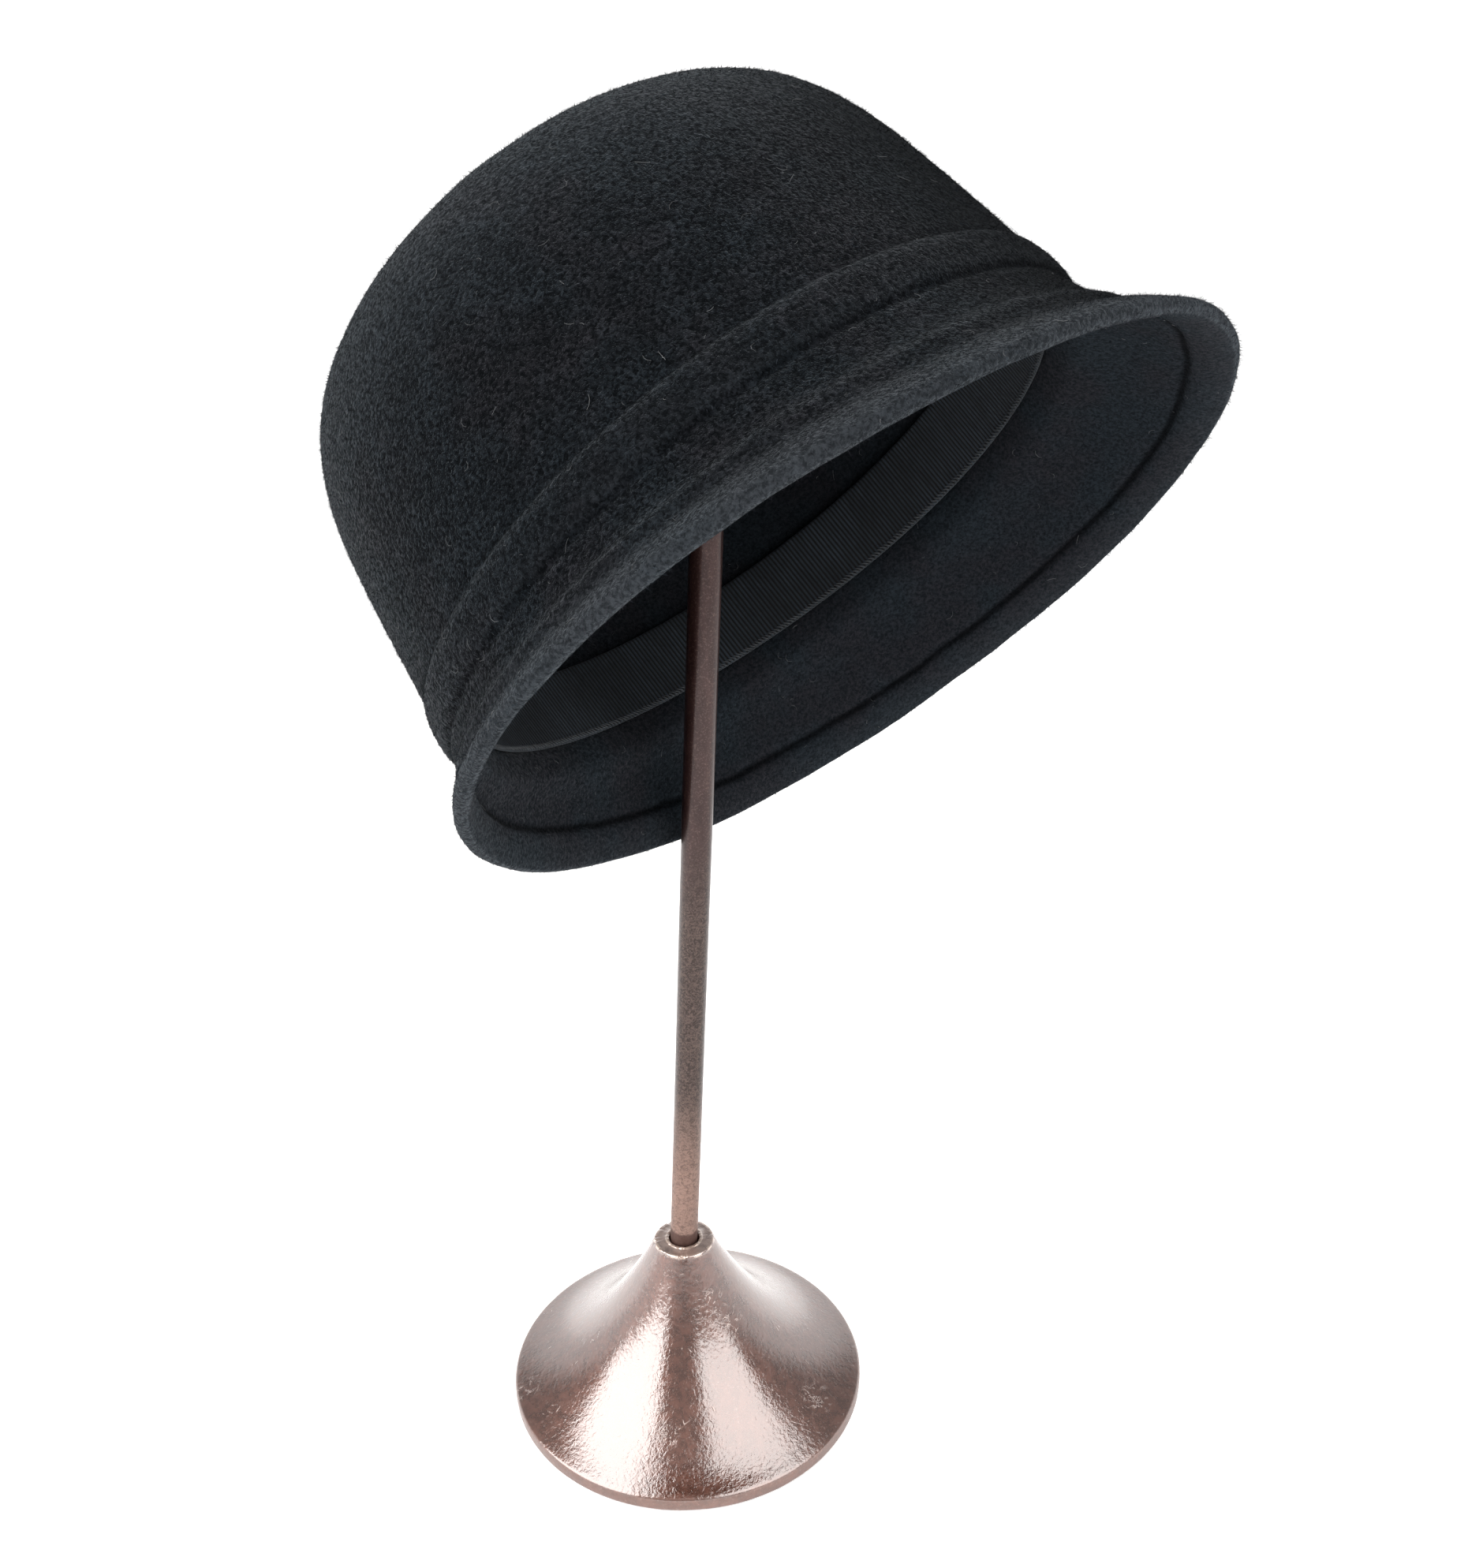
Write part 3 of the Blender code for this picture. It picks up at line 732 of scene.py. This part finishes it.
class CLOCHE_OT_felt_hat(bpy.types.Operator):
    """Smooth the felt solid into a blocked felt hat with a little waviness"""

    bl_idname = "cloche.felt_hat"
    bl_label = "Felt Hat"

    def execute(self, context):
        hat = context.scene.cloche_hat
        obj = copy_of_node("felt_body", "hat_felt")
        crease_hem(obj)
        subdivide(obj, hat.smoothing)
        points = points_of(obj)
        normals = normals_of(obj)
        broad = noise_at(points, 0.05, 1)
        middle = noise_at(points, 0.017, 2)
        small = noise_at(points, 0.006, 3)
        lift = hat.waviness * (0.75 * broad + 0.35 * middle + 0.16 * small)
        local = hat_places(points)
        under = inner_side(points, normals)
        from_edge = distance_to_brim_edge(points)
        uneven = 0.0006 * noise_at(points, 0.015, 6)
        seam = 0.8 * under * np.exp(-((from_edge + uneven - hat.hem_width) / hat.hem_groove) ** 2)
        # The hem's groove and the felt's hollows, which get painted shade and are pressed in a little; ridges
        # come out negative on the outer side
        hollow = np.where(under > 0.5, seam, hollowness(obj, rounds=16, full=0.00042))
        along = np.clip(local[:, 0] / 0.08, -1.0, 1.0)
        # Paler strip along the brim's edge, stronger at the front: partly wear, partly painted sheen
        worn_and_sheen = np.clip(1.0 - from_edge / WORN_AND_SHEEN_WIDTH, 0.0, 1.0) ** 3.2
        worn_and_sheen *= 0.64 + 0.35 * np.abs(along) + 0.30 * np.maximum(along, 0.0)
        store(obj, "hollow", hollow)
        # Painted light on the underside, strongest low down on the hat
        store(obj, "under", under * (0.75 + 0.25 * np.clip((0.012 - local[:, 2]) / 0.012, 0.0, 1.0)))
        store(obj, "edge", worn_and_sheen * (1.0 - 0.72 * under))
        lift -= np.where(under > 0.5, 0.0008, 0.0002) * np.maximum(hollow, 0.0)
        move_points(obj, points + normals * lift[:, None])
        smooth(obj)
        finish(obj, velour_felt(hat), "felt", "felt_body")
        return {"FINISHED"}


def crown_side(places, normals):
    return (hat_places(places)[:, 2] > NAP_PARTING) * (1.0 - inner_side(places, normals))


def brim_side(places, normals):
    return (hat_places(places)[:, 2] <= NAP_PARTING).astype(float)


def grow_nap(felt, hat, name, region, seed, long):
    """A mesh of fibres that lean down the hat in swirls, each with a lift, a length and a tone of its own."""
    rng = np.random.default_rng(seed)
    count = hat.nap_count
    spots, normals, near = spots_on(felt, count, rng, region)
    hollow, under, edge = (stored(felt, part)[near] for part in ("hollow", "under", "edge"))
    down = np.tile(np.array(HAT_FRAME.to_3x3()) @ np.array((0.0, 0.0, -1.0)), (count, 1))
    along = along_surface(down, normals)
    side = np.cross(normals, along)
    swirl = noise_at(spots, 0.013, seed)
    along += 1.2 * swirl[:, None] * side + rng.normal(0.0, 1.1, (count, 3))
    along = unit(along_surface(along, normals))
    rise = rng.uniform(0.12, 0.95, count)[:, None]
    forward = along * (1.0 - 0.6 * rise) + normals * rise
    short = (1.0 - 0.6 * np.clip(hollow, 0.0, 1.0)) * (1.0 - 0.45 * under)
    short *= 1.0 + 0.7 * edge
    length = long * hat.nap_length * rng.uniform(0.45, 1.25, count) * short
    width = hat.nap_width * rng.uniform(0.7, 1.3, count) / long ** 0.5
    shape = added(bpy.ops.mesh.primitive_cone_add, vertices=3, radius1=1.0, radius2=0.0, depth=1.0)
    # The fibre's root starts a little under the surface
    place(shape, Matrix.Translation((0.0, 0.0, 0.42)))
    sizes = np.stack((width, width, length), axis=1)
    obj = scattered(name, shape, frames_along(forward, normals), sizes, spots)
    clumps = np.clip(0.5 + 0.9 * noise_at(spots, 0.0028, seed + 40), 0.0, 1.0)
    tone = rng.random(count) ** 2.2 * (0.35 + 0.65 * clumps)
    # Painted shade towards the hat's front, and painted light on the underside
    front = np.clip((hat_places(spots)[:, 0] + 0.010) / 0.070, 0.0, 1.0) * (1.0 - under)
    tone = tone * (1.0 - 0.7 * front) + under * (0.06 + 0.30 * rng.random(count))
    # Paler fibres along the brim's edge: partly wear, partly painted sheen
    tone = tone + 0.8 * edge * rng.random(count)
    # Painted shade: darker fibres in hollows
    tone = tone * np.clip(1.0 - 0.8 * np.maximum(hollow, 0.0), 0.05, 1.0)
    store(obj, "tone", np.repeat(np.clip(tone, 0.0, 1.0), len(obj.data.vertices) // count))
    return obj


class CLOCHE_OT_nap(bpy.types.Operator):
    """Raise the nap: short fibres on crown and brim, and longer fine ones all over"""

    bl_idname = "cloche.nap"
    bl_label = "Felt Nap"

    def execute(self, context):
        hat = context.scene.cloche_hat
        felt = bpy.data.objects["hat_felt"]
        material = raised_fibre(hat)
        for name, region, seed, long in (
                ("nap_crown", crown_side, 11, 1.0),
                ("nap_brim", brim_side, 12, 1.0),
                ("nap_fuzz", None, 13, 1.8)):
            finish(grow_nap(felt, hat, name, region, seed, long), material, "felt")
        return {"FINISHED"}


class CLOCHE_OT_lint(bpy.types.Operator):
    """Scatter a few pale curled fibres that the nap has caught"""

    bl_idname = "cloche.lint"
    bl_label = "Loose Lint"

    def execute(self, context):
        hat = context.scene.cloche_hat
        felt = bpy.data.objects["hat_felt"]
        rng = np.random.default_rng(21)
        count = hat.lint_count
        spots, normals, _ = spots_on(felt, count, rng)
        shape = added(bpy.ops.mesh.primitive_cylinder_add, vertices=4, radius=1.0, depth=1.0)
        bpy.ops.object.mode_set(mode="EDIT")
        cut_across((-0.2, 0.2))
        end_edit()
        along = along_surface(rng.normal(0.0, 1.0, (count, 3)), normals)
        length = 0.0006 + 0.0030 * rng.random(count) ** 2.0
        width = rng.uniform(0.00003, 0.00005, count)
        sizes = np.stack((width, width, length), axis=1)
        turns = frames_along(along, normals)
        middle = spots + normals * rng.uniform(0.0002, 0.0006, count)[:, None]
        obj = scattered("lint", shape, turns, sizes, middle)
        points = points_of(obj).reshape(count, -1, 3)
        reach = np.einsum("nki,ni->nk", points - middle[:, None, :], turns[:, :, 2])
        share = reach / (0.5 * length[:, None])
        curl = rng.uniform(-0.5, 0.5, count)[:, None] * length[:, None]
        points = points + turns[:, None, :, 1] * (curl * (1.0 - share ** 2))[:, :, None]
        move_points(obj, points.reshape(-1, 3))
        finish(obj, loose_lint(hat), "felt")
        return {"FINISHED"}


def ribbon_half_sizes():
    """Half-length and half-width of the ribbon's inner face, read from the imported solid."""
    local = np.abs(hat_places(points_of(bpy.data.objects["sweatband"])))
    return float(local[:, 0].max()) - PACKED_RIBBON, float(local[:, 1].max()) - PACKED_RIBBON


def ribbon_outward(turn, half_length, half_width):
    """Which way the ribbon faces away from the head, at each turn round it."""
    level = np.zeros(len(turn))
    return unit(np.stack((np.cos(turn) / half_length, np.sin(turn) / half_width, level), axis=1))


class CLOCHE_OT_sweatband(bpy.types.Operator):
    """Weave the sweatband: a ribbed ribbon sewn round the inside of the crown's foot"""

    bl_idname = "cloche.sweatband"
    bl_label = "Sweatband Ribbon"

    def execute(self, context):
        hat = context.scene.cloche_hat
        half_length, half_width = ribbon_half_sizes()
        columns_per_rib = 6
        obj = added(bpy.ops.mesh.primitive_circle_add, vertices=hat.rib_count * columns_per_rib,
                    radius=1.0, fill_type="NOTHING")
        obj.name = "sweatband_ribbon"
        bpy.ops.transform.resize(value=(half_length, half_width, 1.0))
        bpy.ops.object.transform_apply(location=True, rotation=True, scale=True)
        edit_all()
        for share in (0.03, 0.05, 0.42, 0.42, 0.05, 0.03):
            bpy.ops.mesh.extrude_region_move(
                TRANSFORM_OT_translate={"value": (0.0, 0.0, share * hat.ribbon_height)})
        end_edit()
        points = points_of(obj)
        turn = np.arctan2(points[:, 1] / half_width, points[:, 0] / half_length)
        outward = ribbon_outward(turn, half_length, half_width)
        height = points[:, 2] / hat.ribbon_height
        edge = np.minimum(height, 1.0 - height)
        rib = np.where(edge > 0.02, np.cos(turn * hat.rib_count), 0.2)
        selvedge = np.where((edge > 0.02) & (edge < 0.10), 0.5, 0.0)
        out = 0.5 * hat.rib_depth * (1.0 + rib) + 0.0002 * selvedge
        points = points + outward * (0.0004 - out)[:, None]
        points[:, 2] += RIBBON_FOOT - BAND_DIP * np.cos(turn) ** 2
        points += outward * (0.0001 * noise_at(points, 0.012, 5))[:, None]
        move_points(obj, points)
        # The ribs' height, which the ribbon's material turns into painted shade and highlight
        store(obj, "rib", 0.5 + 0.5 * rib)
        modifier = obj.modifiers.new("Thickness", "SOLIDIFY")
        modifier.thickness = 0.6 * hat.ribbon_thickness
        modifier.offset = 1.0
        bpy.ops.object.modifier_apply(modifier=modifier.name)
        place(obj, HAT_FRAME)
        activate(obj)
        edit_all()
        bpy.ops.mesh.normals_make_consistent(inside=False)
        end_edit()
        smooth(obj)
        finish(obj, ribbed_ribbon(hat), "ribbon", "sweatband")
        return {"FINISHED"}


class CLOCHE_OT_stitches(bpy.types.Operator):
    """Sew the ribbon in place with one row of stitches just over its lower edge"""

    bl_idname = "cloche.stitches"
    bl_label = "Sweatband Stitches"

    def execute(self, context):
        hat = context.scene.cloche_hat
        half_length, half_width = ribbon_half_sizes()
        fine = np.linspace(0.0, 2.0 * math.pi, 4001)
        loop = np.stack((half_length * np.cos(fine), half_width * np.sin(fine)), axis=1)
        run = np.concatenate(([0.0], np.cumsum(np.linalg.norm(np.diff(loop, axis=0), axis=1))))
        count = int(round(run[-1] / hat.stitch_spacing))
        rng = np.random.default_rng(31)
        turn = np.interp((np.arange(count) + rng.uniform(-0.12, 0.12, count)) * run[-1] / count, run, fine)
        outward = ribbon_outward(turn, half_length, half_width)
        level = np.zeros(count)
        along = unit(np.stack((-half_length * np.sin(turn), half_width * np.cos(turn), level), axis=1))
        along[:, 2] += rng.uniform(0.8, 1.2, count)
        spots = np.stack((half_length * np.cos(turn), half_width * np.sin(turn),
                          RIBBON_FOOT - BAND_DIP * np.cos(turn) ** 2 + 0.0011
                          + rng.uniform(-0.0001, 0.0001, count)), axis=1)
        spots += outward * 0.00012
        shape = added(bpy.ops.mesh.primitive_uv_sphere_add, segments=6, ring_count=5, radius=0.5)
        thread = np.full(count, 0.00042)
        sizes = np.stack((thread, thread, hat.stitch_length * rng.uniform(0.85, 1.1, count)), axis=1)
        obj = scattered("sweatband_stitches", shape, frames_along(along, outward), sizes, spots)
        place(obj, HAT_FRAME)
        smooth(obj)
        finish(obj, sewing_thread(), "ribbon")
        return {"FINISHED"}


# Stand

class CLOCHE_OT_stand_base(bpy.types.Operator):
    """Spin the flared base from its outline and give its coating a wrinkled, chipped skin"""

    bl_idname = "cloche.stand_base"
    bl_label = "Stand Base"

    def execute(self, context):
        stand = context.scene.cloche_stand
        outline = base_outline(stand)
        radius, height = outline[0]
        obj = added(bpy.ops.mesh.primitive_circle_add, vertices=BASE_FACETS, radius=radius,
                    fill_type="NGON")
        obj.name = "base"
        edit_all()
        bpy.ops.mesh.poke()
        bpy.ops.mesh.select_all(action="DESELECT")
        bpy.ops.mesh.select_mode(type="EDGE")
        bpy.ops.mesh.select_non_manifold(extend=False, use_wire=False, use_boundary=True,
                                         use_multi_face=False, use_non_contiguous=False, use_verts=False)
        for next_radius, next_height in outline[1:]:
            bpy.ops.mesh.extrude_region_move(
                TRANSFORM_OT_translate={"value": (0.0, 0.0, next_height - height)})
            share = next_radius / radius
            bpy.ops.transform.resize(value=(share, share, 1.0), center_override=(0.0, 0.0, next_height))
            radius, height = next_radius, next_height
        bpy.ops.mesh.edge_face_add()
        bpy.ops.mesh.poke()
        bpy.ops.mesh.select_all(action="SELECT")
        bpy.ops.mesh.normals_make_consistent(inside=False)
        end_edit()
        points, normals = points_of(obj), normals_of(obj)
        far = np.hypot(points[:, 0], points[:, 1])
        height = points[:, 2].copy()
        top = stand.base_height
        inside = (far < stand.rod_radius + 0.0018) & (height > 0.030) & (height < top - 0.0002)
        lean = np.array(rod_frame(top))
        points[inside] = (points[inside] - (0.0, 0.0, top)) @ lean[:3, :3].T + lean[:3, 3]
        peel = noise_at(points, 0.0030, 7)
        sag = noise_at(points, 0.014, 8)
        lift = np.where(height > 0.0002, stand.peel_depth * (0.45 * peel + 0.8 * sag), 0.0)
        chips = np.maximum(noise_at(points, 0.0017, 9) - 0.18, 0.0)
        lift = np.where((height > top - 0.0010) & (far > 0.0101), lift - 0.0007 * chips, lift)
        lift = np.where(height > top + 0.0001, 0.0003 * noise_at(points, 0.0012, 14), lift)
        lift[inside] = 0.0
        move_points(obj, points + normals * lift[:, None])
        smooth(obj)
        finish(obj, brown_coat(stand), "base_metal", "stand_base")
        return {"FINISHED"}


def arc(far, height, radius, angles):
    return [(far + radius * math.cos(a), height + radius * math.sin(a)) for a in angles]


def base_outline(stand):
    """Radius and height of the base's outline, from the underside up the flare and into the rod's mouth."""
    edge, high, rounding = stand.base_radius, stand.rim_height, stand.rim_round
    outline = [(edge - rounding - 0.0006, 0.0)]
    outline += arc(edge - rounding, rounding, rounding,
                   [math.radians(-72.0 + 72.0 * k / 5) for k in range(6)])
    outline.append((edge + 0.00005, 0.5 * high))
    meeting = 0.5 * math.pi - math.atan(stand.flare_cone * stand.base_height / stand.base_radius)
    outline += arc(edge - rounding, high - rounding, rounding, [meeting * k / 6 for k in range(7)])
    foot, low = outline[-1]
    rise = stand.base_height - COLLAR_ROUND - low
    for k in range(1, FLARE_STEPS):
        share = (1.0 - k / FLARE_STEPS) ** 1.25
        climb = 1.0 - share
        curve = stand.flare_cone * climb + (1.0 - stand.flare_cone) * climb ** stand.flare_power
        outline.append((stand.collar_radius + (foot - stand.collar_radius) * share, low + rise * curve))
    top = stand.base_height
    outline.append((stand.collar_radius, top - COLLAR_ROUND))
    outline += arc(stand.collar_radius - COLLAR_ROUND, top - COLLAR_ROUND, COLLAR_ROUND,
                   [math.radians(a) for a in (25.0, 50.0, 75.0)])
    outline.append((stand.collar_radius - 0.0018, top))
    mouth = stand.rod_radius + 0.0012
    for out, up in ((0.0010, 0.0), (0.0005, 0.0003), (0.0, 0.0005), (-0.0005, 0.0003), (-0.0008, -0.0003)):
        outline.append((mouth + out, top + up))
    bore = stand.rod_radius + 0.0003
    outline.append((bore, top - 0.012))
    outline.append((bore, top - 0.028))
    return outline


class CLOCHE_OT_stand_rod(bpy.types.Operator):
    """Draw the rod up from the base and give it a satin coating"""

    bl_idname = "cloche.stand_rod"
    bl_label = "Stand Rod"

    def execute(self, context):
        stand = context.scene.cloche_stand
        lean = rod_frame(stand.base_height)
        to_local = np.array(lean.inverted())
        points = points_of(bpy.data.objects["stand_rod"])
        height = points @ to_local[2, :3] + to_local[2, 3]
        low, high = float(height.min()), float(height.max())
        obj = added(bpy.ops.mesh.primitive_cylinder_add, location=(0.0, 0.0, 0.5 * (low + high)),
                    vertices=ROD_FACETS, radius=stand.rod_radius, depth=high - low, end_fill_type="TRIFAN")
        obj.name = "rod"
        bpy.ops.object.transform_apply(location=True, rotation=True, scale=True)
        bpy.ops.object.mode_set(mode="EDIT")
        cut_across(low + (high - low) * k / ROD_RINGS for k in range(1, ROD_RINGS))
        end_edit()
        modifier = obj.modifiers.new("Rounded ends", "BEVEL")
        modifier.limit_method = "ANGLE"
        modifier.angle_limit = math.radians(60.0)
        modifier.width = 0.0006
        modifier.segments = 3
        activate(obj)
        bpy.ops.object.modifier_apply(modifier=modifier.name)
        points = points_of(obj)
        normals = normals_of(obj)
        inside = (points[:, 2] > low + 0.001) & (points[:, 2] < high - 0.001)
        lift = np.where(inside, 0.00003 * noise_at(points, 0.004, 10), 0.0)
        move_points(obj, points + normals * lift[:, None])
        place(obj, lean)
        smooth(obj)
        finish(obj, satin_rod_coat(stand), "rod_metal", "stand_rod")
        return {"FINISHED"}


class CLOCHE_OT_rod_knob(bpy.types.Operator):
    """Turn the plain round knob that holds up the crown"""

    bl_idname = "cloche.rod_knob"
    bl_label = "Rod Knob"

    def execute(self, context):
        stand = context.scene.cloche_stand
        obj = copy_of_node("rod_knob", "knob")
        subdivide(obj, 2)
        smooth(obj)
        finish(obj, stained_wood(stand), "knob", "rod_knob")
        return {"FINISHED"}


# Studio

class CLOCHE_OT_studio(bpy.types.Operator):
    """Lay the pale floor, set up the soft lights and place the camera"""

    bl_idname = "cloche.studio"
    bl_label = "Studio"

    def execute(self, context):
        studio = context.scene.cloche_studio
        floor = added(bpy.ops.mesh.primitive_circle_add, location=(0.0, 0.0, -0.0002), vertices=96,
                      radius=1.0, fill_type="NGON")
        floor.name = "floor"
        s = Shader("pale_floor")
        s.link(s.mix(s.noise(0.4, 2.0), (0.93, 0.93, 0.93), (0.95, 0.95, 0.95)), "Base Color")
        s.set("Roughness", 0.9)
        s.set("Emission Color", WHITE)
        s.set("Emission Strength", 0.30)
        floor.data.materials.append(s.material)
        studio_world(context.scene, studio.camera_turn)
        turn = Matrix.Rotation(studio.camera_turn, 4, "Z")
        for name, corners, glow in PANELS:
            panel = added(bpy.ops.mesh.primitive_circle_add, vertices=len(corners), radius=1.0,
                          fill_type="NGON")
            panel.name = name
            move_points(panel, np.array([(x, y, 1.0) for x, y in corners]) * PANEL_HEIGHT)
            place(panel, turn)
            panel.data.materials.append(glowing(name, glow * studio.light_strength))
        photo_camera(context.scene, studio)
        context.scene.view_settings.view_transform = "Standard"
        return {"FINISHED"}


def glowing(name, strength):
    """A soft panel's own light."""
    s = Shader(name)
    s.set("Base Color", (0.0, 0.0, 0.0, 1.0))
    s.set("Specular IOR Level", 0.0)
    s.set("Emission Color", (1.0, 0.985, 0.97, 1.0))
    s.set("Emission Strength", strength)
    return s.material


def studio_world(scene, turn):
    """White walls low down, higher up behind the hat, and a dimmer ceiling between the soft panels."""
    world = bpy.data.worlds.new("studio")
    scene.world = world
    world.use_nodes = True
    s = Nodes(world.node_tree, "Generated")
    facing = s.add("ShaderNodeMapping", "Vector", {"Vector": s.place, "Rotation": (0.0, 0.0, -turn)})
    behind, height = s.split(facing)[1:]
    height = s.math("MULTIPLY_ADD", s.larger(behind, 0.0), -0.30, height)
    back = world.node_tree.nodes["Background"]
    world.node_tree.links.new(s.ramp(height, 0.05, 0.36, 1.20, 0.28), back.inputs["Strength"])
    back.inputs["Color"].default_value = WHITE


def photo_camera(scene, studio):
    """The camera where the photograph was taken from."""
    turn = Matrix.Rotation(studio.camera_turn, 4, "Z")
    tilt = Matrix.Rotation(0.5 * math.pi - studio.camera_pitch, 4, "X")
    roll = Matrix.Rotation(-studio.camera_roll, 4, "Z")
    camera = bpy.data.cameras.new("photo_camera")
    camera.sensor_fit = "HORIZONTAL"
    camera.sensor_width = SENSOR_WIDTH
    camera.lens = SENSOR_WIDTH * FOCAL_LENGTH / PHOTO_WIDTH
    camera.shift_y = (AXIS_ROW - PHOTO_MIDDLE_ROW) / PHOTO_WIDTH
    camera.clip_start = 0.01
    holder = bpy.data.objects.new("photo_camera", camera)
    scene.collection.objects.link(holder)
    holder.matrix_world = turn @ Matrix.Translation(CAMERA_PLACE) @ tilt @ roll
    scene.camera = holder


class CLOCHE_PT_panel(bpy.types.Panel):
    """Lists the pieces of the hat and its stand"""

    bl_label = "Cloche Hat"
    bl_idname = "CLOCHE_PT_panel"
    bl_space_type = "VIEW_3D"
    bl_region_type = "UI"
    bl_category = "Cloche Hat"

    def draw(self, context):
        layout = self.layout
        for heading, settings, operators in (
                ("Hat", context.scene.cloche_hat,
                 ("cloche.felt_hat", "cloche.nap", "cloche.lint", "cloche.sweatband", "cloche.stitches")),
                ("Stand", context.scene.cloche_stand,
                 ("cloche.stand_base", "cloche.stand_rod", "cloche.rod_knob")),
                ("Studio", context.scene.cloche_studio, ("cloche.studio",))):
            box = layout.box()
            box.label(text=heading)
            for name in settings.__annotations__:
                box.prop(settings, name)
            for operator in operators:
                box.operator(operator)


CLASSES = (
    HatSettings,
    StandSettings,
    StudioSettings,
    CLOCHE_OT_felt_hat,
    CLOCHE_OT_nap,
    CLOCHE_OT_lint,
    CLOCHE_OT_sweatband,
    CLOCHE_OT_stitches,
    CLOCHE_OT_stand_base,
    CLOCHE_OT_stand_rod,
    CLOCHE_OT_rod_knob,
    CLOCHE_OT_studio,
    CLOCHE_PT_panel,
)


def register():
    for cls in CLASSES:
        bpy.utils.register_class(cls)
    bpy.types.Scene.cloche_hat = bpy.props.PointerProperty(type=HatSettings)
    bpy.types.Scene.cloche_stand = bpy.props.PointerProperty(type=StandSettings)
    bpy.types.Scene.cloche_studio = bpy.props.PointerProperty(type=StudioSettings)


def unregister():
    del bpy.types.Scene.cloche_studio
    del bpy.types.Scene.cloche_stand
    del bpy.types.Scene.cloche_hat
    for cls in reversed(CLASSES):
        bpy.utils.unregister_class(cls)


def main():
    register()
    bpy.ops.cloche.felt_hat()
    bpy.ops.cloche.nap()
    bpy.ops.cloche.lint()
    bpy.ops.cloche.sweatband()
    bpy.ops.cloche.stitches()
    bpy.ops.cloche.stand_base()
    bpy.ops.cloche.stand_rod()
    bpy.ops.cloche.rod_knob()
    bpy.ops.cloche.studio()


if __name__ == "__main__":
    main()
